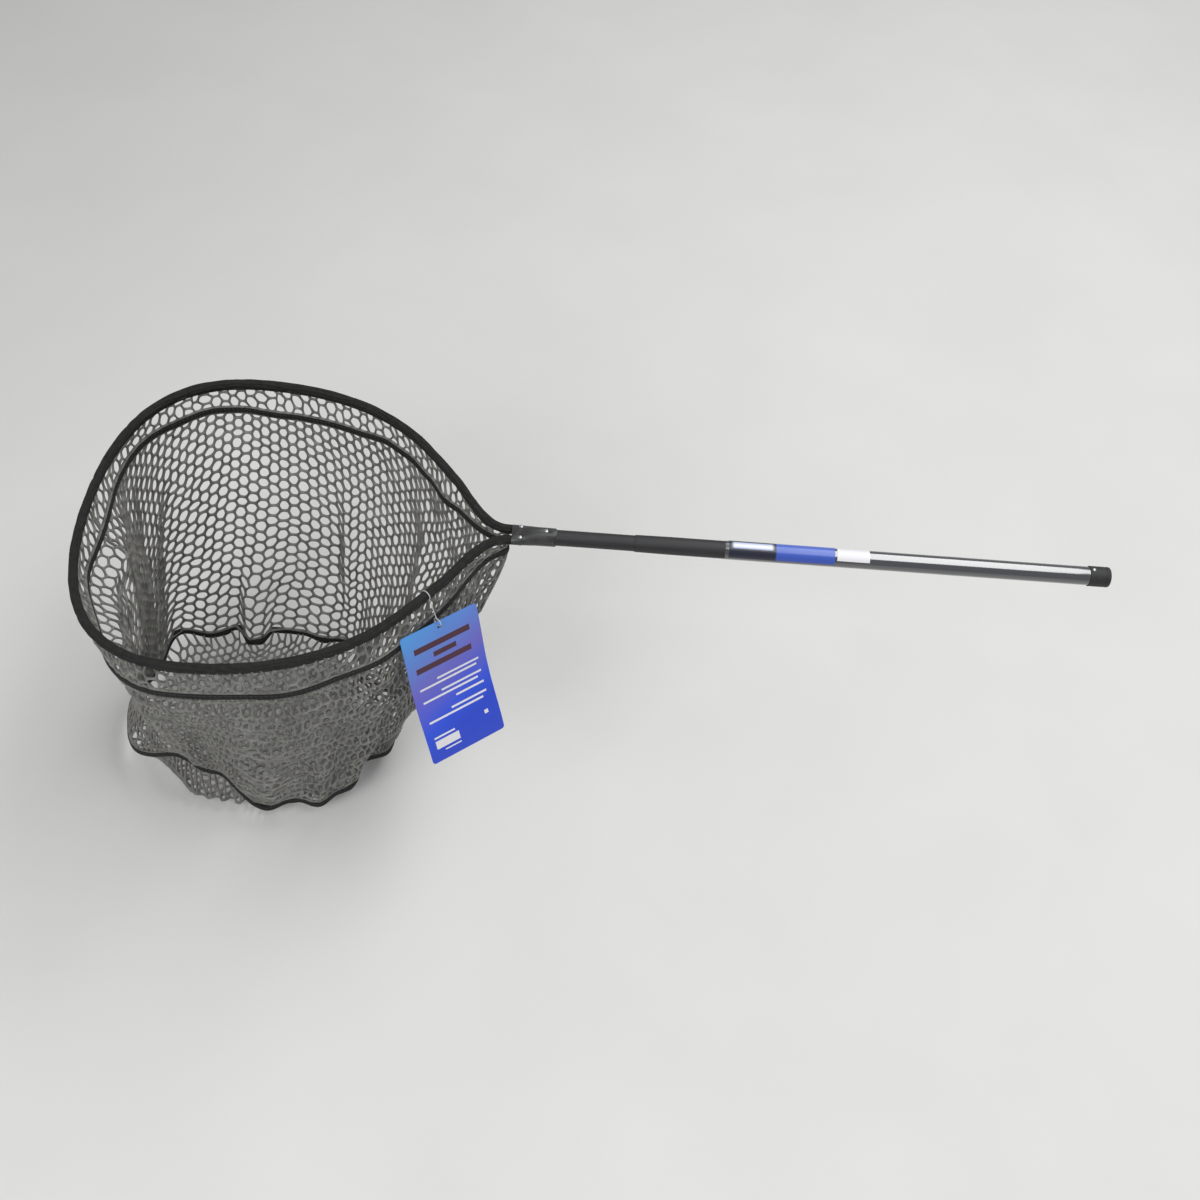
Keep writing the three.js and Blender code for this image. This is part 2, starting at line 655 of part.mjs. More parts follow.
// A band that closes on itself, through rows with an outer and an inner ring, a height and the
// share of the collar's lift that the row follows; cells that are open are left out
function closedBand(rows, isOpen = () => false) {
  const count = collarLoop.length;
  const ring = (side) => (row) =>
    row[side].flatMap((point, i) => [point.x, point.y, row.z + row.lift * noseLift[i]]);
  const positions = [...rows.flatMap(ring('outer')), ...rows.flatMap(ring('inner'))];
  const outer = (s, k) => k * count + (s % count);
  const inner = (s, k) => rows.length * count + outer(s, k);
  const solid = (s, k) => k >= 0 && k + 1 < rows.length && !isOpen((s + count) % count, k);
  const index = [];
  const quad = (a, b, c, d) => index.push(a, b, c, a, c, d);
  for (let s = 0; s < count; s += 1) {
    for (let k = 0; k + 1 < rows.length; k += 1) {
      if (!solid(s, k)) continue;
      const [a, b, c, d] = [outer(s, k), outer(s, k + 1), outer(s + 1, k + 1), outer(s + 1, k)];
      const [e, f, g, h] = [inner(s, k), inner(s, k + 1), inner(s + 1, k + 1), inner(s + 1, k)];
      quad(a, b, c, d);
      quad(f, e, h, g);
      if (!solid(s, k + 1)) quad(b, f, g, c);
      if (!solid(s, k - 1)) quad(e, a, d, h);
      if (!solid(s - 1, k)) quad(b, a, e, f);
      if (!solid(s + 1, k)) quad(d, c, g, h);
    }
  }
  const geometry = new THREE.BufferGeometry();
  geometry.setAttribute('position', new THREE.Float32BufferAttribute(positions, 3));
  geometry.setIndex(index);
  return geometry;
}

function ringRow(z, share, thickness, lift = 0) {
  return { z, lift, outer: bagRing(share, thickness / 2), inner: bagRing(share, -thickness / 2) };
}

function collarTape() {
  return closedBand([
    ringRow(tapeTop, 0, TAPE_THICKNESS, 1),
    ringRow(tapeBottom, 0, TAPE_THICKNESS, 1),
  ]);
}

function floorTape() {
  return closedBand([
    ringRow(floorTapeTop, 1, TAPE_THICKNESS),
    ringRow(floorTapeTop - TAPE_HEIGHT, 1, TAPE_THICKNESS),
  ]);
}

// The tag's loop hangs in the middle of the straight step of the hoop that is nearest its place
const loopStation = (() => {
  const line = hoopLine();
  const stations = line.getSpacedPoints(HOOP_STEPS);
  const stepLength = line.getLength() / HOOP_STEPS;
  const stepsBack = Math.ceil((LEG_INSERT + TAG_FROM_YOKE) / stepLength);
  const from = stations[HOOP_STEPS - stepsBack];
  const to = stations[HOOP_STEPS - stepsBack + 1];
  return { middle: from.clone().lerp(to, 0.5), along: to.clone().sub(from).normalize() };
})();
const loopYaw = Math.atan2(loopStation.along.y, loopStation.along.x);
const loopRingR = sleeveR + SEAM_GAP + LOOP_STRAND / 2;

// The collar hangs under the sleeve, with a notch where the tag's loop goes round the sleeve
function netCollar() {
  const collar = closedBand([
    ringRow(collarTop, 0, NET_THICKNESS),
    ringRow(collarBottom, 0, NET_THICKNESS, 1),
  ]);
  const depth = loopRingR + LOOP_STRAND / 2 + SEAM_GAP;
  const width = LOOP_STRAND + SEAM_GAP * 2;
  const notch = block(-width / 2, width / 2, -CUT, CUT, -depth, collarTop + CUT);
  notch.rotateZ(loopYaw).translate(loopStation.middle.x, loopStation.middle.y, 0);
  return cut(collar, notch);
}

// Whether a cell of the walls is one of their openings; bars and openings take turns both ways
function isWallOpening(s, row) {
  const half = bagShares.length - 1;
  const across = s < half ? s : 2 * half - 1 - s;
  return row % 2 === 1 && across % (openingParts + 1) > 0;
}

// One side of the bag's wall of open netting, cut from the whole wall along the handle's plane
function sideWall(sign) {
  const shares = barShares(WALL_OPENINGS_DOWN, WALL_BAR / (wallTop - wallBottom), 1);
  const rows = shares.map((share) => {
    const z = THREE.MathUtils.lerp(wallTop, wallBottom, share);
    return ringRow(z, share ** WALL_TAPER_POWER, NET_THICKNESS, 1 - share);
  });
  const reach = HOOP_WIDTH;
  const sides = [(sign * SEAM_GAP) / 2, -sign * reach].sort((a, b) => a - b);
  const otherSide = block(-HOOP_LENGTH - reach, reach, ...sides, wallBottom - CUT, 0);
  return cut(closedBand(rows, isWallOpening), otherSide);
}

// The floor panel, sagging a little inside its tape
function floorNet() {
  const edge = offset(floorLoop, -TAPE_THICKNESS / 2 - SEAM_GAP);
  const middle = flat(floorCentre, 0);
  const count = edge.length;
  const positions = [];
  const faces = [];
  const level = (share) => -BAG_DEPTH - FLOOR_SAG * (1 - share * share);
  for (const lift of [NET_THICKNESS / 2, -NET_THICKNESS / 2]) {
    for (let ring = FLOOR_RINGS; ring >= 1; ring -= 1) {
      const share = ring / FLOOR_RINGS;
      for (const point of edge) {
        const at = middle.clone().lerp(point, share);
        positions.push(at.x, at.y, level(share) + lift);
      }
    }
    positions.push(middle.x, middle.y, level(0) + lift);
  }
  const layer = count * FLOOR_RINGS + 1;
  for (let i = 0; i < count; i += 1) {
    const j = (i + 1) % count;
    for (let ring = 0; ring + 1 < FLOOR_RINGS; ring += 1) {
      const a = ring * count;
      const b = a + count;
      faces.push(a + i, a + j, b + i, a + j, b + j, b + i);
      faces.push(layer + a + i, layer + b + i, layer + a + j);
      faces.push(layer + a + j, layer + b + i, layer + b + j);
    }
    const inner = (FLOOR_RINGS - 1) * count;
    faces.push(inner + i, inner + j, layer - 1);
    faces.push(layer + inner + i, 2 * layer - 1, layer + inner + j);
    faces.push(i, layer + i, j, j, layer + i, layer + j);
  }
  const geometry = new THREE.BufferGeometry();
  geometry.setAttribute('position', new THREE.Float32BufferAttribute(positions, 3));
  geometry.setIndex(faces);
  return geometry;
}

// Hang tag

// The tag and its loop share a frame on the hoop's axis: x along the leg towards the yoke,
// -y outwards from the hoop, z up
const tagGroup = new THREE.Group();
tagGroup.position.copy(loopStation.middle);
tagGroup.rotation.set(-TAG_LEAN, 0, loopYaw, 'ZYX');

const holeTop = -TAG_DROP - TAG_HOLE_INSET + TAG_HOLE_DIAMETER / 2;
const eyeLow = holeTop - SEAM_GAP - LOOP_STRAND / 2;

function ring(radius, y, z) {
  const geometry = new THREE.TorusGeometry(radius, LOOP_STRAND / 2, LOOP_SIDES, LOOP_SEGMENTS);
  return geometry.rotateY(Math.PI / 2).translate(0, y, z);
}

// Round the sleeve, down to the tag and through its hole
function tagLoop() {
  const eyeZ = eyeLow + LOOP_EYE_RADIUS;
  const top = new THREE.Vector3(
    0,
    -loopRingR * Math.cos(LOOP_LEAVES_AT),
    loopRingR * Math.sin(LOOP_LEAVES_AT),
  );
  const end = new THREE.Vector3(0, -TAG_STAND_OFF, eyeZ + LOOP_EYE_RADIUS);
  const section = new THREE.Shape().absarc(0, 0, LOOP_STRAND / 2, 0, Math.PI * 2);
  const stem = new THREE.ExtrudeGeometry(section, {
    steps: 1,
    curveSegments: LOOP_SIDES / 2,
    extrudePath: new THREE.LineCurve3(top, end),
    bevelEnabled: false,
  });
  return join(ring(loopRingR, 0, 0), ring(LOOP_EYE_RADIUS, -TAG_STAND_OFF, eyeZ), stem);
}

// A strip of card bowed down its height, before its outline and hole are cut
function bowedStrip() {
  const heights = Array.from({ length: TAG_BOW_STEPS + 1 }, (_, i) => i / TAG_BOW_STEPS);
  const face = (side) =>
    heights.map((share) => {
      const bow = (TAG_BOW * (1 - Math.cos(2 * Math.PI * share))) / 2;
      return new THREE.Vector2(-TAG_HEIGHT * share, (side * TAG_THICKNESS) / 2 - bow);
    });
  const profile = new THREE.Shape([...face(1), ...face(-1).reverse()]);
  const strip = new THREE.ExtrudeGeometry(profile, { depth: TAG_WIDTH, bevelEnabled: false });
  const width = new THREE.Vector3(1, 0, 0);
  const height = new THREE.Vector3(0, 1, 0);
  const depth = new THREE.Vector3(0, 0, 1);
  strip.applyMatrix4(new THREE.Matrix4().makeBasis(height, depth, width));
  return strip.translate(-TAG_WIDTH / 2, 0, 0);
}

function hangTag() {
  const half = TAG_WIDTH / 2 - TAG_CORNER;
  const low = -TAG_HEIGHT + TAG_CORNER;
  const card = new THREE.Shape();
  card.absarc(half, -TAG_CORNER, TAG_CORNER, 0, Math.PI / 2);
  card.absarc(-half, -TAG_CORNER, TAG_CORNER, Math.PI / 2, Math.PI);
  card.absarc(-half, low, TAG_CORNER, Math.PI, Math.PI * 1.5);
  card.absarc(half, low, TAG_CORNER, Math.PI * 1.5, Math.PI * 2);
  card.closePath();
  const hole = new THREE.Path().absarc(0, -TAG_HOLE_INSET, TAG_HOLE_DIAMETER / 2, 0, Math.PI * 2, true);
  card.holes.push(hole);
  const cutter = new THREE.ExtrudeGeometry(card, {
    depth: TAG_BOW * 4,
    bevelEnabled: false,
    curveSegments: TAG_SEGMENTS,
  });
  const geometry = keep(bowedStrip(), cutter.translate(0, 0, -TAG_BOW * 2));
  geometry.translate(0, TAG_HOLE_INSET, 0).rotateZ(TAG_TURN).translate(0, -TAG_HOLE_INSET, 0);
  geometry.rotateX(Math.PI / 2).rotateZ(TAG_YAW - loopYaw);
  return geometry.translate(0, -TAG_STAND_OFF, -TAG_DROP);
}

// Assembly

const assembly = new THREE.Group();
assembly.position.x = -GRIP_FROM_MOUTH;
assembly.add(tagGroup);

function place(name, geometry, material, parent = assembly) {
  const mesh = new THREE.Mesh(geometry, material);
  mesh.name = name;
  parent.add(mesh);
}

place('hoop_tube', hoopTube(), darkAluminium);
place('far_leg_plug', legPlug(legY), rubber);
place('near_leg_plug', legPlug(-legY), rubber);
place('hoop_sleeve', hoopSleeve(), webbing);
place('yoke_upper', yokeHalf(1), mouldedNylon);
place('yoke_lower', yokeHalf(-1), mouldedNylon);
place('far_leg_rivet', rivet(LEG_RIVET_AT, legY, legSeat), bareAluminium);
place('near_leg_rivet', rivet(LEG_RIVET_AT, -legY, legSeat), bareAluminium);
place('shank_rivet', rivet(SHANK_RIVET_AT, 0, shankSeat), bareAluminium);
place('shank_tube', shankTube(), darkAluminium);
place('shank_plug', shankPlug(), rubber);
place('handle_tube', handleTube(), darkAluminium);
place('handle_foam_core', foamCore(), foam);
place('grip_sleeve', gripSleeve(), glossyVinyl);
place('butt_cap', buttCap(), rubber);
place('butt_rivet', capRivet(), bareAluminium);
const labelStart = gripStart + LABEL_START;
const stickerStart = labelStart + LABEL_LENGTH + STICKER_GAP;
place('handle_label', sticker(labelStart, LABEL_LENGTH, LABEL_SPAN), labelFilm);
place('price_sticker', sticker(stickerStart, STICKER_LENGTH, STICKER_SPAN), whitePaper);
place('net_collar', netCollar(), coatedMesh);
place('collar_tape', collarTape(), webbing);
place('far_wall_net', sideWall(1), coatedMesh);
place('near_wall_net', sideWall(-1), coatedMesh);
place('floor_tape', floorTape(), webbing);
place('floor_net', floorNet(), coatedMesh);
place('hang_tag', hangTag(), printedCard, tagGroup);
place('tag_loop', tagLoop(), clearNylon, tagGroup);

export default assembly;
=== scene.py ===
"""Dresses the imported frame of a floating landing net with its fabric, netting, finishes and stage."""
import json
import math

import bpy
import numpy as np
from bpy.props import FloatProperty, FloatVectorProperty, PointerProperty
from mathutils import Matrix, Vector


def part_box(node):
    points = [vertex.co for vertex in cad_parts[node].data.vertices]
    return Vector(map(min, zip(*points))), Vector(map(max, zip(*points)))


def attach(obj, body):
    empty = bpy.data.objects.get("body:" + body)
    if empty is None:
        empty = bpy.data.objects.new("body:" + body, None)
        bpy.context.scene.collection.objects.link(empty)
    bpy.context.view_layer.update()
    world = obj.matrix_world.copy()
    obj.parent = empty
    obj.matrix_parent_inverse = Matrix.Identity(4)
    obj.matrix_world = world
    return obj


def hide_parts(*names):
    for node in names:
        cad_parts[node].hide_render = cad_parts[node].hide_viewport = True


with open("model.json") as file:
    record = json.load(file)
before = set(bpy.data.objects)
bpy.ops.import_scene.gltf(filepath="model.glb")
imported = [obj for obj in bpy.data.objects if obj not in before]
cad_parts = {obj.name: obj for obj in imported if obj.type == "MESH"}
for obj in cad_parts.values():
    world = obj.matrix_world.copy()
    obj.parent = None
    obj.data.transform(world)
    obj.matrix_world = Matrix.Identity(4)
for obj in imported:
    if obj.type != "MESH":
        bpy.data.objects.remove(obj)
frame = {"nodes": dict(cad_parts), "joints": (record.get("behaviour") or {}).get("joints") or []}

bl_info = {
    "name": "Landing Net Dresser",
    "version": (1, 0, 0),
    "blender": (4, 5, 0),
    "location": "3D View > Sidebar > Landing Net",
    "description": "Builds the netting, fabric, handle finishes and stage of a landing net",
    "category": "Object",
}

MM = 0.001
NET_BODY = "net"
TAG_BODY = "tag"
SEAM = 0.3 * MM  # the frame's gap between sewn pieces


def linear(code):
    """An sRGB hex colour as linear red, green and blue."""
    shares = [int(code[i : i + 2], 16) / 255 for i in (0, 2, 4)]
    return [c / 12.92 if c <= 0.04045 else ((c + 0.055) / 1.055) ** 2.4 for c in shares]


def colour(name, description, code):
    """A colour property with its default as an sRGB hex value."""
    return FloatVectorProperty(
        name=name, description=description, subtype="COLOR", min=0, max=1, default=linear(code)
    )


def length(name, description, millimetres):
    """A length property with its default in millimetres."""
    return FloatProperty(name=name, description=description, unit="LENGTH", default=millimetres * MM)


class LANDINGNET_PG_netting(bpy.types.PropertyGroup):
    """Sizes and colours of the coated netting"""

    column: length("Column spacing", "Distance between two columns of cells", 13.3)
    row: length("Row pitch", "Height of a cell as the bag hangs", 20)
    strand: length("Strand", "Thickness of a coated strand", 4.5)
    light: colour("Light grey", "Netting where the coating catches the light", "868580")
    dark: colour("Dark grey", "Netting in its darker patches", "64635f")


class LANDINGNET_PG_fabric(bpy.types.PropertyGroup):
    """Sizes and colours of the sewn fabric"""

    sleeve: colour("Sleeve", "Fabric sleeve on the hoop", "242423")
    tape: colour("Tape", "Woven binding tape", "242423")
    thread: colour("Thread", "Sewing thread", "4a4a47")
    stitch: length("Stitch", "Length of a stitch", 4)
    stitch_gap: length("Stitch gap", "Gap between two stitches", 2.4)


class LANDINGNET_PG_handle(bpy.types.PropertyGroup):
    """Colours of the handle and yoke"""

    tube: colour("Tube", "Dark anodised tube", "252527")
    grip: colour("Grip", "Glossy shrink sleeve", "15161f")
    yoke: colour("Yoke", "Moulded nylon yoke", "2a2a2b")
    cap: colour("Cap", "Rubber butt cap", "1d1d1e")
    rivet: colour("Rivet", "Bare aluminium rivets", "c6c7ca")


class LANDINGNET_PG_print(bpy.types.PropertyGroup):
    """Colours of the tag and the stickers"""

    # sky is the print's top colour; lightest at the top-left corner, where it is partly a painted sheen
    sky: colour("Sky blue", "Top corner of the tag", "4f9be6")
    violet: colour("Violet", "Middle of the tag", "6a66cc")
    royal: colour("Royal blue", "Foot of the tag", "2450e0")
    maroon: colour("Maroon", "Heading bars", "4a1730")
    # white also makes the middle of the painted highlight on the handle label
    white: colour("White", "Lines, boxes and the price sticker", "f1f0f4")
    # pale is the painted highlight along the top of the handle label's dark end
    pale: colour("Pale blue", "Pale end of the handle label", "c3cfec")
    label: colour("Label blue", "Blue end of the handle label", "3f5fc0")
    bow: length("Tag bow", "How far the middle of the tag bows towards the bag", 8)


# Frame measures

SLEEVE_LOW, SLEEVE_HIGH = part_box("hoop_sleeve")
SLEEVE_R = SLEEVE_HIGH.z
MOUTH_X = SLEEVE_HIGH.x + SEAM
HOOP_TIP_X = SLEEVE_LOW.x + SLEEVE_R - MOUTH_X
HOOP_HALF_WIDTH = SLEEVE_HIGH.y - SLEEVE_R
COLLAR_LOW, COLLAR_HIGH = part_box("net_collar")
COLLAR_TAPE_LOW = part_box("collar_tape")[0]
FLOOR_TAPE_LOW, FLOOR_TAPE_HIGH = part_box("floor_tape")
TAPE_THICKNESS = 3.2 * MM
TAPE_HEIGHT = FLOOR_TAPE_HIGH.z - FLOOR_TAPE_LOW.z
WALL_TOP = COLLAR_TAPE_LOW.z - SEAM
WALL_BOTTOM = FLOOR_TAPE_HIGH.z + SEAM
FLOOR_Z = (FLOOR_TAPE_LOW.z + FLOOR_TAPE_HIGH.z) / 2
FLOOR_X = (FLOOR_TAPE_LOW.x + FLOOR_TAPE_HIGH.x) / 2 - MOUTH_X
FLOOR_HALF_LENGTH = (FLOOR_TAPE_HIGH.x - FLOOR_TAPE_LOW.x - TAPE_THICKNESS) / 2
FLOOR_HALF_WIDTH = (FLOOR_TAPE_HIGH.y - FLOOR_TAPE_LOW.y - TAPE_THICKNESS) / 2
FLOOR_SAG = 18 * MM
FLOOR_SQUARENESS = 2.5
WALL_TAPER_POWER = 1.3

# Hoop line, from the yoke's mouth

LEG_Y = 9.5 * MM
LEG_LEAD = 2 * MM
HOOP_WIDEST_X = -393 * MM
SPLAY = math.radians(50)
FLARE = (-88 * MM, 96.5 * MM)  # steepest point of a leg
FLARE_PULLS = (42 * MM, 36 * MM)
SHOULDER_PULLS = (64 * MM, 203 * MM)
TIP_PULLS = (142 * MM, 148 * MM)
NOSE_X = -6 * MM  # where the collar closes
NOSE_LENGTH = 10 * MM
NOSE_POINTS = 12
COLLAR_NOSE_DEPTH = 14 * MM
COLLAR_RISE = 105 * MM
CURVE_STEPS = 160
LINE_POINTS = 481


def bezier(start, pull_a, pull_b, end):
    t = np.linspace(0, 1, CURVE_STEPS)[:, None]
    points = [np.array(p, float) for p in (start, pull_a, pull_b, end)]
    weights = [(1 - t) ** 3, 3 * (1 - t) ** 2 * t, 3 * (1 - t) * t**2, t**3]
    return sum(w * p for w, p in zip(weights, points))


def distances(line):
    """How far along a line each of its points lies."""
    steps = np.linalg.norm(np.diff(line, axis=0), axis=1)
    return np.concatenate([[0], np.cumsum(steps)])


def points_at(wanted, marks, line):
    """Points of a line at the wanted places, where marks has the place of each of its points."""
    return np.column_stack([np.interp(wanted, marks, line[:, k]) for k in range(line.shape[1])])


def evenly(line, count):
    """A line of many points as count points that are evenly spaced along it."""
    along = distances(line)
    return points_at(np.linspace(0, along[-1], count), along, line)


def looped(line):
    """A closed line with its first point again at the end."""
    return np.vstack([line, line[:1]])


def hoop_half():
    """Half of the hoop's line on the +Y side, from the yoke to the tip, in the mouth's frame."""
    slope = np.array([-math.cos(SPLAY), math.sin(SPLAY)])
    flare = np.array(FLARE)
    leg = (-LEG_LEAD, LEG_Y)
    side = (HOOP_WIDEST_X, HOOP_HALF_WIDTH)
    tip = (HOOP_TIP_X, 0)
    lead = bezier(leg, (leg[0] - FLARE_PULLS[0], LEG_Y), flare - slope * FLARE_PULLS[1], flare)
    shoulder_end = (HOOP_WIDEST_X + SHOULDER_PULLS[1], HOOP_HALF_WIDTH)
    shoulder = bezier(flare, flare + slope * SHOULDER_PULLS[0], shoulder_end, side)
    round_tip = bezier(side, (HOOP_WIDEST_X - TIP_PULLS[0], HOOP_HALF_WIDTH), (HOOP_TIP_X, TIP_PULLS[1]), tip)
    return np.vstack([lead, shoulder[1:], round_tip[1:]])


def collar_half():
    """Half of the collar's line, from its nose under the yoke to the hoop's tip."""
    line = hoop_half()
    outer = line[line[:, 0] <= NOSE_X - NOSE_LENGTH]
    angle = np.linspace(0, math.pi / 2, NOSE_POINTS, endpoint=False)
    nose_x = NOSE_X - NOSE_LENGTH + NOSE_LENGTH * np.cos(angle)
    nose = np.column_stack([nose_x, outer[0, 1] * np.sin(angle)])
    return evenly(np.vstack([nose, outer]), LINE_POINTS)


def floor_half():
    """Half of the floor's rounded outline, from the yoke's side to the tip's side."""
    angle = np.linspace(0, math.pi, 4 * CURVE_STEPS)
    power = 2 / FLOOR_SQUARENESS
    x = FLOOR_X + FLOOR_HALF_LENGTH * np.sign(np.cos(angle)) * np.abs(np.cos(angle)) ** power
    return evenly(np.column_stack([x, FLOOR_HALF_WIDTH * np.abs(np.sin(angle)) ** power]), LINE_POINTS)


PLACE = np.linspace(0, 1, LINE_POINTS)  # along a half line, nose to tip
COLLAR = collar_half()
FLOOR = floor_half()


def smooth(x):
    x = np.clip(x, 0, 1)
    return x * x * (3 - 2 * x)


def hump(x, centre, half):
    """1 at centre, falling smoothly to 0 at half on either side."""
    return smooth(1 - np.abs(x - centre) / half)


NOSE_LIFT = (COLLAR_HIGH.z - COLLAR_LOW.z - COLLAR_NOSE_DEPTH) * smooth(
    1 - (NOSE_X - COLLAR[:, 0]) / COLLAR_RISE
)

# How the collar's lower edge and the floor's edge are pushed about by the way the bag hangs, on the far side
# (1) and the near side (-1): place along the half, half width of the push, mm inwards and mm upwards
COLLAR_DENTS = {
    1: [
        (1.0, 0.12, 8, 0), (0.8, 0.16, -5, 10), (0.66, 0.08, -3, 8), (0.6, 0.05, 0, 4),
        (0.34, 0.06, -2, 6), (0.285, 0.04, -2, 4), (0.18, 0.05, 3, -3), (0.06, 0.08, 0, 5),
    ],
    -1: [
        (1.0, 0.12, 8, 0), (0.8, 0.13, 14, -12), (0.64, 0.08, -3, 0), (0.43, 0.08, 2, -10),
        (0.28, 0.07, 0, -6),
    ],
}
FLOOR_DENTS = {
    1: [
        (0.19, 0.14, 44, 0), (0.4, 0.06, 6, -6), (0.572, 0.03, 26, 0), (0.602, 0.03, 26, 0),
        (0.645, 0.03, -4, 6), (0.79, 0.09, -10, 28), (1.0, 0.1, -16, 0),
    ],
    -1: [
        (0.17, 0.08, 20, 12), (0.33, 0.05, -8, -8), (0.46, 0.06, -6, -13), (0.57, 0.08, 16, 28),
        (0.645, 0.05, 0, 12), (0.7, 0.17, 26, 46), (0.9, 0.1, -12, 0), (1.0, 0.1, -16, 0),
    ],
}
PUSH_POWER = 2.5  # how late down a wall the push on its foot sets in
NEAR_PUSH_POWER = 1.0  # in the near wall, which hangs straighter
NEAR_PUSH_EASE = 0.12  # share of the near wall by the tip in which the one power turns into the other

# Folds of a wall: place at the top and foot, half width, height in mm, depths where it starts and is full
WALL_FOLDS = {
    1: [
        (0.44, 0.335, 0.03, -20, 0.0, 0.6),
        (0.258, 0.07, 0.035, -18, 0.0, 0.5),
        (0.62, 0.6, 0.03, -16, 0.6, 1.0),
        (0.53, 0.5, 0.03, 8, 0.3, 1.0),
    ],
    -1: [
        (0.2, 0.14, 0.05, 14, 0.05, 0.7),
        (0.34, 0.3, 0.04, -16, 0.1, 0.8),
        (0.47, 0.44, 0.045, 12, 0.2, 1.0),
        (0.6, 0.6, 0.04, -18, 0.0, 0.7),
        (0.78, 0.8, 0.05, 6, 0.2, 0.9),
    ],
}
FOOT_HOLD = {1: 6, -1: 3}  # how close to its foot a wall's folds still stand
RIPPLE = 2 * MM  # of a wall between its folds
RIPPLE_RATE = 46  # radians along a wall

# Laps of a wall, where the netting doubles back on itself: place at the top and foot, width at the foot in mm
WALL_LAPS = {1: [(0.75, 0.875, 26), (0.83, 0.92, 24)], -1: [(0.52, 0.54, 14)]}
LAP_STARTS = 0.12  # depth at which the laps begin
LAP_GROWTH = 0.7  # power of the way down from there by which they widen
LAP_SPREAD = 0.016  # share of a wall in which a lap turns
LAP_GAP = 4.2 * MM  # between its layers
LAP_LIFT = 4  # how many times sooner than their width its layers come apart
LAP_TAIL = 5  # spreads past a lap at which the netting lies back in line
LAP_TAIL_EASE = 3  # spreads over which it goes there

# Places at the top and foot of a wall that one line of the netting joins
WALL_COLUMNS = {
    1: [(0.258, 0.13), (0.44, 0.335), (0.6, 0.64)],
    -1: [(0.26, 0.13), (0.45, 0.36), (0.65, 0.62)],
}
COLUMN_EASE = 41  # points of a row over which the netting eases from one spread to the next
END_HOLD = 0.03  # share of a wall by each end seam in which it lies smooth
LEDGE_PLACES = (0.68, 0.78, 0.86, 1.0, 1.05, 1.12)  # round the tip, over 1 on the far side
LEDGE = (0, 20, 36, 29, 20, 0)  # how far the walls lie in there under the collar tape, in mm
LEDGE_DEPTH = 0.09
LEDGE_FADE = 4  # how late down a wall it comes back out
LEDGE_GATHER = 0.5  # how much closer the netting lies down the wall on the ledge
GATHER_DEPTH = 0.6  # depth by which it is spread evenly again
TIP_SPREAD = 0.5  # how much wider apart along the tape at the tip
TUCK = 14 * MM  # of the near wall under the collar
TUCK_AT = (0.07, 0.035)  # its depth down the wall and half width
TUCK_ALONG = (0.55, 0.4)  # its middle along the wall and half width
WALL_LEVELS = 81
WALL_SAMPLES = 2401


def unit(ways):
    """Directions with their length made 1."""
    return ways / np.linalg.norm(ways, axis=-1, keepdims=True)


def outwards(line, closed):
    """Level directions across a line of points, to the right of the way it runs."""
    if closed:
        along = np.roll(line, -1, axis=0) - np.roll(line, 1, axis=0)
    else:
        along = np.gradient(line, axis=0)
    return unit(np.column_stack([along[:, 1], -along[:, 0], np.zeros(len(line))]))


def stood(line, side, z):
    """A half line as points on one side of the net, at the height z."""
    return np.column_stack([line[:, 0] + MOUTH_X, side * line[:, 1], z + np.zeros(len(line))])


def pushed(line, z, side, dents):
    """A half line on one side as points, pushed inwards and upwards by its dents."""
    along = unit(np.gradient(line, axis=0))
    inside = np.column_stack([-along[:, 1], along[:, 0]])
    xy, z = line.copy(), z + np.zeros(LINE_POINTS)
    for centre, half, inwards, upwards in dents:
        push = hump(PLACE, centre, half)
        xy += inside * (push * inwards * MM)[:, None]
        z += push * upwards * MM
    return stood(xy, side, z)


def collar_edge(side, z):
    """The collar's lower edge at a height that it has away from its raised nose."""
    return pushed(COLLAR, z + NOSE_LIFT, side, COLLAR_DENTS[side])


def floor_edge(side):
    return pushed(FLOOR, FLOOR_Z, side, FLOOR_DENTS[side])


def eased(values, count):
    """Values in a row with their bends rounded over count of them, and their ends kept."""
    half = count // 2
    before, after = 2 * values[0] - values[half:0:-1], 2 * values[-1] - values[-2 : -half - 2 : -1]
    window = np.hanning(count + 2)[1:-1]
    return np.convolve(np.concatenate([before, values, after]), window / window.sum(), "valid")


def wall_rings(side):
    """Each depth down a wall with its level line, from the pushed collar edge to the pushed floor edge."""
    top, foot = collar_edge(side, WALL_TOP), stood(FLOOR, side, WALL_BOTTOM)
    push = floor_edge(side) + [0, 0, WALL_BOTTOM - FLOOR_Z] - foot
    power = np.full(LINE_POINTS, PUSH_POWER)
    if side < 0:
        power += (NEAR_PUSH_POWER - PUSH_POWER) * smooth((1 - PLACE) / NEAR_PUSH_EASE)
    for depth in np.linspace(0, 1, WALL_LEVELS):
        share = depth**WALL_TAPER_POWER
        ring = top * (1 - share) + foot * share + push * (depth**power)[:, None]
        ring[:, 2] += (top[:, 2] - foot[:, 2]) * (share - depth)
        yield depth, ring


def lapped(side, depth, x, half_length):
    """How far along a wall its laps shift the netting at a depth, and how far out they bring it."""
    shift, out = np.zeros(len(x)), np.zeros(len(x))
    grown = max(0, (depth - LAP_STARTS) / (1 - LAP_STARTS))
    for top, foot, width in WALL_LAPS[side]:
        away = (x - (top + (foot - top) * depth)) / LAP_SPREAD
        reach = width * MM * grown**LAP_GROWTH / half_length
        shift -= reach * away * np.exp(0.5 - away**2 / 2)
        layers = LAP_GAP * min(1, LAP_LIFT * grown)
        out -= 2 * layers * smooth((away + 1) / 2) * smooth((LAP_TAIL - away) / LAP_TAIL_EASE)
    return shift, out


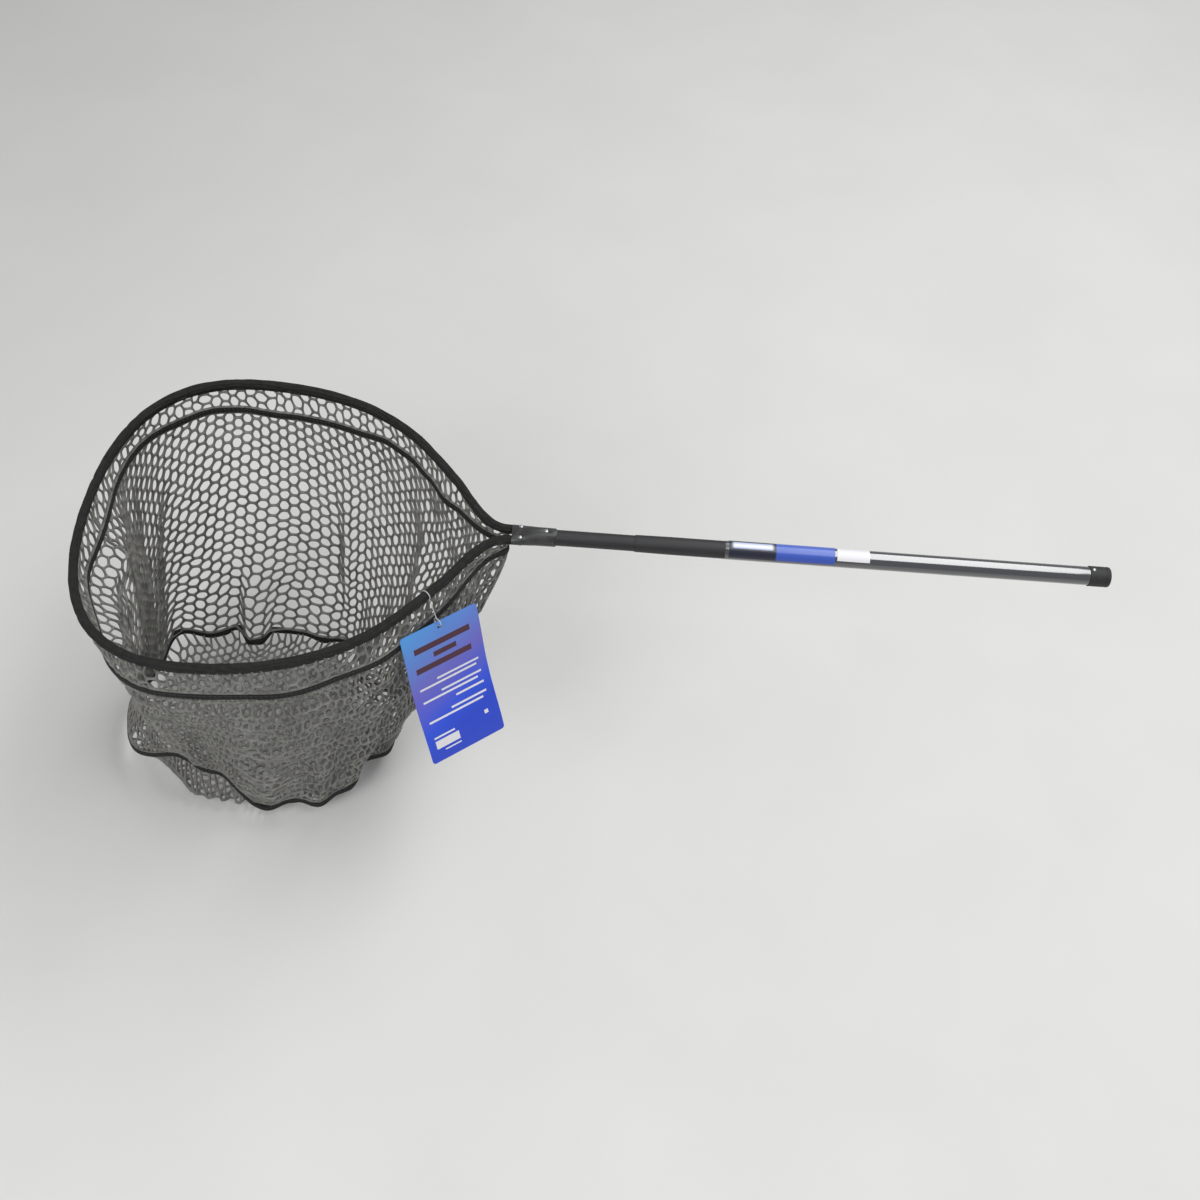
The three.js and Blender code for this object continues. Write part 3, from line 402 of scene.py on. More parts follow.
def folded(side, depth, x):
    """How far out the ripple and the folds of a wall stand at a depth."""
    out = RIPPLE * depth * np.sin(x * RIPPLE_RATE + 3 * side)
    for top, foot, half, height, start, full in WALL_FOLDS[side]:
        grown = float(smooth((depth - start) / (full - start)))
        out += height * MM * grown * hump(x, top + (foot - top) * depth, half)
    if side < 0:
        out -= TUCK * hump(depth, *TUCK_AT) * hump(x, *TUCK_ALONG)
    return out


def lying_in(side, place):
    """How far a wall lies in under the collar tape, in mm."""
    return np.interp(place if side < 0 else 2 - place, LEDGE_PLACES, LEDGE)


def wall_grid(side):
    """The draped side wall as rows of points that are evenly spaced along the netting."""
    x = np.linspace(0, 1, WALL_SAMPLES)
    hold = smooth(x / END_HOLD) * smooth((1 - x) / END_HOLD)
    laps = [(top, foot) for top, foot, _ in WALL_LAPS[side]]
    tops, feet = np.array(sorted([(0, 0), (1, 1), *WALL_COLUMNS[side], *laps])).T
    rows = []
    for depth, ring in wall_rings(side):
        shift, lap_out = lapped(side, depth, x, distances(ring[:, :2])[-1])
        out = (folded(side, depth, x) + lap_out) * (1 - depth ** FOOT_HOLD[side])
        ledge = lying_in(side, x) * MM * smooth(depth / LEDGE_DEPTH) * (1 - depth**LEDGE_FADE)
        place = np.clip(x + hold * shift, 0, 1)
        way = points_at(place, PLACE, outwards(ring, False) * side)
        row = points_at(place, PLACE, ring) + way * (out * hold - ledge)[:, None]
        along = distances(row)
        marks = np.interp(tops + (feet - tops) * depth, x, along)
        wanted = eased(np.interp(PLACE, tops, marks), COLUMN_EASE)
        rows.append(points_at(wanted, along, row))
    return np.array(rows)


def on_grid(grid, u, v):
    """Points on a grid of rows, at shares u along the rows and v down them."""
    last_row, last_column = grid.shape[0] - 1, grid.shape[1] - 1
    r, c = np.clip(v, 0, 1) * last_row, np.clip(u, 0, 1) * last_column
    r0, c0 = np.minimum(r.astype(int), last_row - 1), np.minimum(c.astype(int), last_column - 1)
    fr, fc = (r - r0)[:, None], (c - c0)[:, None]
    top = grid[r0, c0] * (1 - fc) + grid[r0, c0 + 1] * fc
    foot = grid[r0 + 1, c0] * (1 - fc) + grid[r0 + 1, c0 + 1] * fc
    return top * (1 - fr) + foot * fr


# Mesh helpers

WELD = 0.02 * MM  # points that lie closer become one
TURNED_SEGMENTS = 72
TURNED_EDGE = math.radians(32)  # edges of turned pieces that are sharper stay sharp
STITCH_SIDES = 6
STITCH_R = 0.4 * MM
STITCH_SHAPE = ((0, 0.45), (0.2, 1), (0.8, 1), (1, 0.45))  # place along a stitch, and its thickness there


def deselect():
    if bpy.context.object and bpy.context.object.mode != "OBJECT":
        close()
    bpy.ops.object.select_all(action="DESELECT")


def take(piece):
    """Makes a piece the only selected and the active object."""
    deselect()
    piece.select_set(True)
    bpy.context.view_layer.objects.active = piece


def edit(piece):
    """Opens a piece for editing, with all of it selected."""
    take(piece)
    bpy.ops.object.mode_set(mode="EDIT")
    bpy.ops.mesh.select_all(action="SELECT")


def close():
    """Ends the editing of a piece."""
    bpy.ops.object.mode_set(mode="OBJECT")


def apply_modifier(piece, kind, **settings):
    take(piece)
    modifier = piece.modifiers.new(kind.title(), kind)
    for name, value in settings.items():
        setattr(modifier, name, value)
    bpy.ops.object.modifier_apply(modifier=modifier.name)


def places(piece):
    flat = np.empty(len(piece.data.vertices) * 3)
    piece.data.vertices.foreach_get("co", flat)
    return flat.reshape(-1, 3)


def move_to(piece, points):
    piece.data.vertices.foreach_set("co", np.ascontiguousarray(points, float).ravel())
    piece.data.update()


def new_piece(name, points, faces, edges=()):
    mesh = bpy.data.meshes.new(name)
    mesh.from_pydata([tuple(p) for p in points], edges, faces)
    piece = bpy.data.objects.new(name, mesh)
    bpy.context.collection.objects.link(piece)
    return piece


def ride(piece, body, slot, *nodes):
    """Fixes a piece to its body and lets it stand for its nodes, which it hides; slot is not used."""
    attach(piece, body)
    if nodes:
        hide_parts(*nodes)


def finish(piece, material, body, slot, *nodes):
    """Gives a piece its material and body, and lets it stand for its nodes; slot is not used."""
    piece.data.materials.clear()
    piece.data.materials.append(material)
    ride(piece, body, slot, *nodes)


def dress(node, material):
    """Gives a frame node that stays in view, or hidden inside, its finish."""
    slots = frame["nodes"][node].data.materials
    slots.clear()
    slots.append(material)


def softened(values, count):
    """Values in a row, each averaged with its neighbours, count in all."""
    window = np.hanning(count)
    return np.convolve(values, window / window.sum(), "same")


def sweep(name, line, sections, closed):
    """A skin through one section of (out, up) points for each point of a line, with a UV map in metres."""
    across = outwards(line, closed)
    count, around = len(line), len(sections[0])
    up = np.array([0, 0, 1.0])
    points = [line[i] + across[i] * out + up * rise for i in range(count) for out, rise in sections[i]]
    faces = []
    last = count if closed else count - 1
    for i in range(last):
        a, b = i * around, ((i + 1) % count) * around
        for j in range(around):
            k = (j + 1) % around
            faces.append((a + j, b + j, b + k, a + k))
    if not closed:
        faces += [tuple(range(around)), tuple(reversed(range((count - 1) * around, count * around)))]
    piece = new_piece(name, points, faces)
    lengthwise, crosswise = distances(looped(line)), distances(looped(np.array(sections[0])))
    layer = piece.data.uv_layers.new(name="Weave")
    for face in piece.data.polygons[: last * around]:
        i, j = divmod(face.index, around)
        corners = [(i, j), (i + 1, j), (i + 1, j + 1), (i, j + 1)]
        for loop, (a, b) in zip(face.loop_indices, corners):
            layer.data[loop].uv = (lengthwise[a], crosswise[b])
    piece.data.shade_smooth()
    return piece


def stitches(name, line, lifts, settings):
    """Rows of sewn stitches along a line, at each (out, up) of lifts from it."""
    step = settings.stitch + settings.stitch_gap
    count = int(distances(line)[-1] / step)
    fine = evenly(line, 3 * count + 1)
    across = outwards(fine, False)
    angles = np.linspace(0, 2 * math.pi, STITCH_SIDES, endpoint=False)
    points, faces = [], []
    for out, rise in lifts:
        row = fine + across * out + np.array([0, 0, rise])
        for start, next_start in zip(row[:-1:3], row[3::3]):
            stitch = (next_start - start) * settings.stitch / step
            way = unit(stitch)
            side = unit(np.cross(way, [0, 0, 1.0]))
            above = np.cross(side, way)
            first = len(points)
            for place, size in STITCH_SHAPE:
                for a in angles:
                    spoke = side * math.cos(a) + above * math.sin(a)
                    points.append(start + stitch * place + spoke * STITCH_R * size)
            ends = [first + ring * STITCH_SIDES for ring in range(len(STITCH_SHAPE))]
            for a, b in zip(ends, ends[1:]):
                for j in range(STITCH_SIDES):
                    k = (j + 1) % STITCH_SIDES
                    faces.append((a + j, a + k, b + k, b + j))
            faces.append(tuple(reversed(range(first, first + STITCH_SIDES))))
            faces.append(tuple(range(ends[-1], ends[-1] + STITCH_SIDES)))
    piece = new_piece(name, points, faces)
    piece.data.shade_smooth()
    return piece


def turned(name, profile, segments=TURNED_SEGMENTS, sweep_angle=2 * math.pi, start_angle=0.0):
    """A closed profile of (x, radius) points spun round the handle's axis."""
    points = [(x, radius * math.cos(start_angle), radius * math.sin(start_angle)) for x, radius in profile]
    edges = [(i, (i + 1) % len(points)) for i in range(len(points))]
    piece = new_piece(name, points, [], edges)
    edit(piece)
    bpy.ops.mesh.spin(steps=segments, angle=sweep_angle, center=(0, 0, 0), axis=(1, 0, 0))
    bpy.ops.mesh.select_all(action="SELECT")
    bpy.ops.mesh.remove_doubles(threshold=WELD)
    bpy.ops.mesh.normals_make_consistent(inside=False)
    close()
    bpy.ops.object.shade_smooth_by_angle(angle=TURNED_EDGE)
    return piece


# Materials


def feed(tree, node, **inputs):
    """Sets a node's inputs to values, or links sockets to them; _0 is its first input."""
    for name, value in inputs.items():
        socket = node.inputs[int(name[1:])] if name[0] == "_" else node.inputs[name.replace("_", " ")]
        if isinstance(value, bpy.types.NodeSocket):
            tree.links.new(value, socket)
        else:
            socket.default_value = value


def put(tree, kind, settings=None, **inputs):
    """Adds a node; settings are its own fields, and inputs are values or sockets for its inputs."""
    node = tree.nodes.new(kind)
    for name, value in (settings or {}).items():
        setattr(node, name, value)
    feed(tree, node, **inputs)
    return node


def blank(name):
    """A new node material with its tree and shader."""
    material = bpy.data.materials.new(name)
    material.use_nodes = True
    tree = material.node_tree
    return material, tree, tree.nodes["Principled BSDF"]


def rgba(value):
    return (*value, 1)


def scaled(base, factor):
    """A colour made darker or lighter."""
    return [c * factor for c in base]


def ramp(tree, factor, stops):
    """A colour ramp through (place, colour) stops."""
    node = put(tree, "ShaderNodeValToRGB", Fac=factor)
    elements = node.color_ramp.elements
    while len(elements) < len(stops):
        elements.new(0.5)
    for element, (place, value) in zip(elements, stops):
        element.position = place
        element.color = rgba(value)
    return node.outputs["Color"]


def spot_on(tree):
    """Where a point lies on its piece."""
    return put(tree, "ShaderNodeTexCoord").outputs["Object"]


def drawn_spot(tree, length, width):
    """Where a point lies, in steps that are long along the handle and narrow across it."""
    steps = (1 / length, 1 / width, 1 / width)
    return put(tree, "ShaderNodeMapping", Vector=spot_on(tree), Scale=steps).outputs[0]


def noise(tree, spot, size, detail):
    """Soft noise in patches of about the given size."""
    return put(tree, "ShaderNodeTexNoise", Vector=spot, Scale=1 / size, Detail=detail).outputs["Fac"]


def relief(tree, height, strength, depth):
    """Small relief of a surface."""
    return put(tree, "ShaderNodeBump", Strength=strength, Distance=depth, Height=height).outputs["Normal"]


def sum_of(tree, operation, *terms):
    """One step of arithmetic."""
    inputs = {f"_{i}": term for i, term in enumerate(terms)}
    return put(tree, "ShaderNodeMath", {"operation": operation}, **inputs).outputs[0]


def between(tree, share, low, high):
    """A share as a value between low and high."""
    return put(tree, "ShaderNodeMapRange", Value=share, To_Min=low, To_Max=high).outputs[0]


def share_of(tree, value, start, end):
    """How far a value lies from start to end, as a share."""
    return put(tree, "ShaderNodeMapRange", Value=value, From_Min=start, From_Max=end).outputs[0]


def mottled(name, size, detail, stops, **constants):
    """A material whose colour follows soft noise through (place, colour) stops."""
    material, tree, shader = blank(name)
    tone = ramp(tree, noise(tree, spot_on(tree), size, detail), stops)
    feed(tree, shader, Base_Color=tone, **constants)
    return material


def coated_netting(settings):
    """Knotless nylon netting dipped in soft vinyl: satin, a little mottled, finely pebbled."""
    material, tree, shader = blank("coated_nylon_netting")
    spot = spot_on(tree)
    tone = ramp(tree, noise(tree, spot, 26 * MM, 3), [(0.32, settings.dark), (0.68, settings.light)])
    pebbles = relief(tree, noise(tree, spot, 0.9 * MM, 2), 0.35, 0.3 * MM)
    feed(tree, shader, Base_Color=tone, Normal=pebbles, Roughness=0.42, IOR=1.53)
    return material


WAVE_SCALE = 0.314  # of a wave texture that repeats once in a metre


def yarns(tree, weave, direction, pitch, distortion):
    """Raised yarns across a direction of the weave, one every pitch."""
    return put(tree, "ShaderNodeTexWave", {"bands_direction": direction}, Vector=weave,
               Scale=WAVE_SCALE / pitch, Distortion=distortion, Detail=1.0).outputs["Fac"]


def woven_polyester(name, base, along, across):
    """Woven polyester: matt, with ribs every along and across metres of the piece, painted shade between the
    yarns, a painted sheen on their tops and random patches of dust.
    """
    material, tree, shader = blank(name)
    weave = put(tree, "ShaderNodeUVMap", {"uv_map": "Weave"}).outputs["UV"]
    ribs = yarns(tree, weave, "X", along, 0.8)
    both = sum_of(tree, "MULTIPLY", ribs, yarns(tree, weave, "Y", across, 0.4))
    # Painted shade in the gaps of the weave and a painted sheen on its yarn tops, mixed with random patches
    # of dust
    dust_and_weave_shade = sum_of(tree, "MULTIPLY_ADD", both, 0.6, noise(tree, weave, 9 * MM, 4))
    tone = ramp(tree, dust_and_weave_shade, [(0.35, scaled(base, 0.5)), (0.95, scaled(base, 1.6))])
    feed(tree, shader, Base_Color=tone, Normal=relief(tree, both, 0.7, 0.5 * MM), Roughness=0.85,
         Specular_IOR_Level=0.3)
    return material


def spun_thread(base):
    """Bonded polyester sewing thread: matt with a slight lustre and a twist."""
    twist = [(0.3, scaled(base, 0.7)), (0.7, scaled(base, 1.3))]
    return mottled("polyester_thread", 1.2 * MM, 2, twist, Roughness=0.7)


def anodised_aluminium(base):
    """Drawn aluminium tube, dark anodised and matt, with faint streaks along its length."""
    material, tree, shader = blank("dark_anodised_aluminium")
    streak = noise(tree, drawn_spot(tree, 60 * MM, 1.6 * MM), 1, 4)
    tone = ramp(tree, streak, [(0.3, scaled(base, 0.72)), (0.75, scaled(base, 1.5))])
    feed(tree, shader, Base_Color=tone, Roughness=between(tree, streak, 0.4, 0.6), Metallic=0.15)
    return material


def glossy_vinyl(base):
    """Heat-shrunk vinyl sleeve: near-black, glossy, with the slight waviness that shrinking leaves."""
    material, tree, shader = blank("glossy_shrink_vinyl")
    wave = noise(tree, drawn_spot(tree, 45 * MM, 7 * MM), 1, 2)
    tone = ramp(tree, wave, [(0.3, base), (0.8, scaled(base, 1.8))])
    feed(tree, shader, Base_Color=tone, Normal=relief(tree, wave, 0.12, 0.4 * MM), Roughness=0.24, IOR=1.54,
         Specular_IOR_Level=0.35, Coat_Weight=1, Coat_Roughness=0.1, Coat_IOR=2.1)
    return material


def moulded_nylon(base):
    """Injection-moulded nylon: satin black with a fine spark-eroded grain and worn, paler patches."""
    material, tree, shader = blank("moulded_nylon")
    spot = spot_on(tree)
    tone = ramp(tree, noise(tree, spot, 14 * MM, 4), [(0.4, base), (0.8, scaled(base, 2.2))])
    grain = relief(tree, noise(tree, spot, 0.7 * MM, 3), 0.3, 0.15 * MM)
    feed(tree, shader, Base_Color=tone, Normal=grain, Roughness=0.4, IOR=1.53)
    return material


def moulded_rubber(base):
    """Moulded rubber: matt black with a fine bloom of dust."""
    material, tree, shader = blank("moulded_rubber")
    bloom = noise(tree, spot_on(tree), 6 * MM, 5)
    tone = ramp(tree, bloom, [(0.35, base), (0.8, scaled(base, 2))])
    feed(tree, shader, Base_Color=tone, Normal=relief(tree, bloom, 0.2, 0.2 * MM), Roughness=0.62, IOR=1.52)
    return material


def bare_aluminium(base):
    """Headed aluminium rivet: bright, softly scratched."""
    material, tree, shader = blank("bare_aluminium")
    scratch = noise(tree, spot_on(tree), 0.8 * MM, 3)
    tone = ramp(tree, scratch, [(0.3, scaled(base, 0.8)), (0.7, base)])
    feed(tree, shader, Base_Color=tone, Roughness=between(tree, scratch, 0.2, 0.42), Metallic=1)
    return material


def closed_cell_foam():
    """Closed-cell polyethylene foam: pale and matt, with fine cells. It is hidden in the handle."""
    material, tree, shader = blank("closed_cell_foam")
    cells = put(tree, "ShaderNodeTexVoronoi", Vector=spot_on(tree), Scale=1 / (1.5 * MM)).outputs["Distance"]
    tone = ramp(tree, cells, [(0.0, linear("c9c6bd")), (0.6, linear("e2e0d8"))])
    feed(tree, shader, Base_Color=tone, Roughness=0.9)
    return material


def clear_nylon():
    """Extruded nylon filament: milky clear and smooth."""
    haze = [(0.3, linear("d5d9dd")), (0.7, linear("eef0f2"))]
    return mottled("clear_nylon", 4 * MM, 2, haze, Roughness=0.25, IOR=1.53, Transmission_Weight=0.35)


LABEL_EDGES = (math.radians(28), math.radians(180))  # where its print starts and ends, round the handle
OFF, ON = (0, 0, 0), (1, 1, 1)  # ends of a ramp that mixes two colours


def printed_label(settings, start, end):
    """Printed polyester film under gloss: a dark end with a painted highlight of pale blue and white along
    its top, then a blue panel, painted lighter towards its upper back edge and darker towards its front edge
    as light and shade fall round the handle.
    """
    material, tree, shader = blank("printed_polyester_film")
    spot = put(tree, "ShaderNodeSeparateXYZ", Vector=spot_on(tree)).outputs
    along = share_of(tree, spot["X"], start, end)
    around = share_of(tree, sum_of(tree, "ARCTAN2", spot["Z"], spot["Y"]), *LABEL_EDGES)
    night = linear("161a30")
    # Painted highlight: pale blue rising to white on the top of the dark end, where the lamp's reflection
    # falls
    painted_highlight = ramp(tree, around, [(0.24, night), (0.31, settings.pale), (0.46, settings.white),
                               (0.54, settings.pale), (0.6, night)])
    # Painted light and shade: the blue panel lighter towards its upper back edge and darker towards its front
    # edge
    panel = ramp(tree, around, [(0.1, linear("5a74cf")), (0.55, settings.label), (0.95, linear("3350b4"))])
    highlight_part = ramp(tree, along, [(0.02, OFF), (0.05, ON), (0.4, ON), (0.43, OFF)])
    panel_part = ramp(tree, along, [(0.44, OFF), (0.45, ON)])
    dark = put(tree, "ShaderNodeMix", {"data_type": "RGBA"}, _0=highlight_part, _6=rgba(night), _7=painted_highlight)
    tone = put(tree, "ShaderNodeMix", {"data_type": "RGBA"}, _0=panel_part, _6=dark.outputs[2], _7=panel)
    feed(tree, shader, Base_Color=tone.outputs[2], Roughness=0.28, IOR=1.57)
    return material


def paper_sticker(settings):
    """Coated label paper: white, hardly glossy, with a trace of fibre."""
    fibre = [(0.2, scaled(settings.white, 0.9)), (0.8, settings.white)]
    return mottled("coated_label_paper", 1.5 * MM, 4, fibre, Roughness=0.45)


def printed_card(settings):
    """Offset-printed card under a gloss varnish: sky blue that turns violet and then royal blue as printed,
    the sky blue lightest at the top-left corner, where it is partly a painted sheen.
    """
    material, tree, shader = blank("varnished_printed_card")
    uv = put(tree, "ShaderNodeUVMap", {"uv_map": "Print"}).outputs["UV"]
    spot = put(tree, "ShaderNodeSeparateXYZ", Vector=uv).outputs
    # The run leans so that the top-left corner is lightest: partly a painted sheen over the print
    tilt = sum_of(tree, "MULTIPLY_ADD", spot["X"], 0.25, spot["Y"])
    share = sum_of(tree, "MULTIPLY_ADD", noise(tree, uv, 1 / 3, 2), 0.12, tilt)
    stops = [(0.1, settings.sky), (0.55, settings.violet), (0.85, settings.royal), (1.0, linear("1d44d0"))]
    feed(tree, shader, Base_Color=ramp(tree, share, stops), Roughness=0.45, Coat_Weight=0.15,
         Coat_Roughness=0.2)
    return material


def printing_ink(name, base):
    """Offset ink under the card's varnish, with a trace of uneven cover."""
    return mottled(name, 2 * MM, 3, [(0.2, scaled(base, 0.85)), (0.8, base)], Roughness=0.35)


def floor_paint():
    """Matt pale paint, hardly mottled."""
    tones = [(0.2, linear("dededc")), (0.8, linear("e4e4e2"))]
    return mottled("pale_floor_paint", 1 / 3, 3, tones, Roughness=0.85)


# Netting

KNIT_FULLNESS = 1.6  # rounding thins a strand, so it starts thicker
KNIT_CREASE = 0.35  # how far a strand keeps its corners
RUFFLE_WAVES = 40
RUFFLE_LENGTHS = (22 * MM, 70 * MM)
WALL_RUFFLE = {1: 1.1 * MM, -1: 2.2 * MM}
WALL_MARGIN = (0.02, 0.06)  # shares across and down, by the edges, in which the netting is held
WALL_SEED = 7
NEAR_STRAND = 0.8  # thickness of the near wall's strands, drawn out by the weight, to the far wall's
NEAR_STRETCH = 1.1  # height of the near wall's cells, drawn down by the weight, to the far wall's


def hexagon_sheet(name, columns, rows):
    """A flat sheet of hexagonal cells, one unit a column across and one unit a row down."""
    deselect()
    upright = (0, 0, math.pi / 6)
    bpy.ops.mesh.primitive_circle_add(vertices=6, radius=2 / 3, fill_type="NGON", rotation=upright)
    bpy.ops.object.transform_apply(rotation=True)
    sheet = bpy.context.object
    sheet.name = sheet.data.name = name
    edit(sheet)
    bpy.ops.transform.resize(value=(1, math.sqrt(3) / 2, 1), center_override=(0, 0, 0))
    bpy.ops.mesh.duplicate_move(TRANSFORM_OT_translate={"value": (1, 0.5, 0)})
    close()
    for count, step in ((columns // 2 + 1, (2, 0, 0)), (rows + 2, (0, 1, 0))):
        apply_modifier(sheet, "ARRAY", count=count, use_relative_offset=False, use_constant_offset=True,
                       constant_offset_displace=step)
    points = places(sheet)
    points[:, 1] -= 0.5
    move_to(sheet, points)
    edit(sheet)
    bpy.ops.mesh.remove_doubles(threshold=0.01)
    close()
    return sheet


def netting_panel(name, columns, rows):
    """A rectangle of cells, with the share of the way across and down it of each point."""
    sheet = hexagon_sheet(name, columns, rows)
    edit(sheet)
    for axis, size in enumerate((columns, rows)):
        for place, way in ((0, -1), (size, 1)):
            spot, across = [0, 0, 0], [0, 0, 0]
            spot[axis], across[axis] = place, way
            bpy.ops.mesh.select_all(action="SELECT")
            bpy.ops.mesh.bisect(plane_co=spot, plane_no=across, clear_outer=True)
    close()
    flat = places(sheet)
    return sheet, flat[:, 0] / columns, flat[:, 1] / rows


def even(count):
    """The even whole number nearest to a count."""
    return 2 * round(count / 2)


def flip(sheet):
    edit(sheet)
    bpy.ops.mesh.flip_normals()
    close()


def knit(sheet, strand):
    """Turns the edges of a sheet of cells into rounded strands."""
    apply_modifier(sheet, "WIREFRAME", thickness=strand * KNIT_FULLNESS, use_even_offset=False,
                   use_boundary=True, use_replace=True, use_relative_offset=False, use_crease=True,
                   crease_weight=KNIT_CREASE)
    apply_modifier(sheet, "SUBSURF", levels=1, render_levels=1)
    sheet.data.shade_smooth()


def ruffle(points, amount, seed, freedom):
    """Small uneven shifts that near neighbours share, as no two cells of soft netting hang alike."""
    rng = np.random.default_rng(seed)
    shift = np.zeros_like(points)
    for _ in range(RUFFLE_WAVES):
        way = rng.normal(size=3)
        way *= 2 * math.pi / (np.linalg.norm(way) * rng.uniform(*RUFFLE_LENGTHS))
        wave = np.sin(points @ way + rng.uniform(0, 2 * math.pi))
        shift += np.outer(wave, rng.normal(0, amount, 3))
    return points + shift * math.sqrt(2 / RUFFLE_WAVES) * freedom[:, None]


def free(u, v, margin):
    """How free a point of a sewn sheet is: 0 on its edges and 1 from the margin inwards."""
    return smooth(np.minimum(u, 1 - u) / margin[0]) * smooth(np.minimum(v, 1 - v) / margin[1])


def wall_sheet(name, side, settings):
    """A draped side wall with its width and depth; the near wall's netting is turned by 90 degrees."""
    grid = wall_grid(side)
    width, depth = distances(grid[0])[-1], distances(grid[:, LINE_POINTS // 2])[-1]
    if side > 0:
        sheet, u, v = netting_panel(name, even(width / settings.column), round(depth / settings.row))
    else:
        columns = even(depth / settings.row / NEAR_STRETCH)
        sheet, v, u = netting_panel(name, columns, round(width / settings.column))
        u = u - TIP_SPREAD * u**4 * (1 - u)
    gather = LEDGE_GATHER * lying_in(side, u) / max(LEDGE)
    v = v * (1 - gather * smooth(1 - v / GATHER_DEPTH))
    draped = on_grid(grid, u, v)
    move_to(sheet, ruffle(draped, WALL_RUFFLE[side], WALL_SEED + side, free(u, v, WALL_MARGIN)))
    flip(sheet)
    knit(sheet, settings.strand * (1 if side > 0 else NEAR_STRAND))
    return sheet, (width, depth)


class LANDINGNET_OT_wall_nets(bpy.types.Operator):
    """Hang the two side walls of netting between the collar tape and the floor tape"""

    bl_idname = "landing_net.wall_nets"
    bl_label = "Side wall netting"

    def execute(self, context):
        settings = context.scene.landing_net_netting
        material = coated_netting(settings)
        for side, node in ((1, "far_wall_net"), (-1, "near_wall_net")):
            sheet, (width, depth) = wall_sheet(node + "_strands", side, settings)
            finish(sheet, material, NET_BODY, "coated_mesh", node)
        return {"FINISHED"}


COLLAR_SWELL = 2.5 * MM  # how far the collar stands out half way down
COLLAR_RIPPLE = 2 * MM
COLLAR_RIPPLE_RATE = 60  # radians along a half
COLLAR_RUFFLE = 2 * MM
COLLAR_MARGIN = (0.02, 0.3)
COLLAR_SEED = 20


class LANDINGNET_OT_collar_net(bpy.types.Operator):
    """Hang the netting collar from the hoop's sleeve"""

    bl_idname = "landing_net.collar_net"
    bl_label = "Collar netting"

    def execute(self, context):
        settings = context.scene.landing_net_netting
        width = distances(COLLAR)[-1]
        depth = COLLAR_HIGH.z - COLLAR_LOW.z
        columns, rows = even(width / settings.column), round(depth / settings.row)
        halves = [self.half(side, columns, rows) for side in (1, -1)]
        deselect()
        for sheet in halves:
            sheet.select_set(True)
        bpy.context.view_layer.objects.active = halves[0]
        bpy.ops.object.join()
        collar = bpy.context.object
        collar.name = collar.data.name = "net_collar_strands"
        knit(collar, settings.strand * NEAR_STRAND)
        finish(collar, coated_netting(settings), NET_BODY, "coated_mesh", "net_collar")
        return {"FINISHED"}

    def half(self, side, columns, rows):
        """The collar's cells on one side, draped from the sleeve to the collar's lower edge."""
        top, foot = stood(COLLAR, side, COLLAR_HIGH.z), collar_edge(side, COLLAR_LOW.z)
        swell = COLLAR_SWELL + COLLAR_RIPPLE * np.sin(PLACE * COLLAR_RIPPLE_RATE)
        middle = (top + foot) / 2 + outwards(top, False) * side * swell[:, None]
        sheet, u, v = netting_panel("collar_half", columns, rows)
        draped = on_grid(np.array([top, middle, foot]), u, v)
        move_to(sheet, ruffle(draped, COLLAR_RUFFLE, COLLAR_SEED + side, free(u, v, COLLAR_MARGIN)))
        if side > 0:
            flip(sheet)
        return sheet


FLOOR_CLOSENESS = 0.78  # size of the floor's cells to the walls' cells
FLOOR_FOLLOW = 5  # how closely only the floor's rim follows its pushed edge
FLOOR_RUFFLE = 1.4 * MM
FLOOR_MARGIN = 0.1
FLOOR_SEED = 31
BULGE_FROM = 0.7  # how far out the floor starts to rise to a lifted edge
BULGE_TURN = 0.5  # share of the rest at which it reaches the outline and hangs lowest
BULGE_ROUND = 1.35  # how soon it reaches the outline
BULGE_RISE = 0.45  # share of the rest from which it rises to the edge
BULGE_PLACES = (0.42, 0.49, 0.6, 0.8, 0.87)  # along the near edge
BULGE_FULLNESS = (0, 1, 1, 0.3, 0)  # there
BULGE_DROP = 30 * MM
BULGE_SPARE = 0.7  # spare netting in the bulge, as a share of the floor's half width
RIM_Z = FLOOR_TAPE_LOW.z + 1.5 * MM


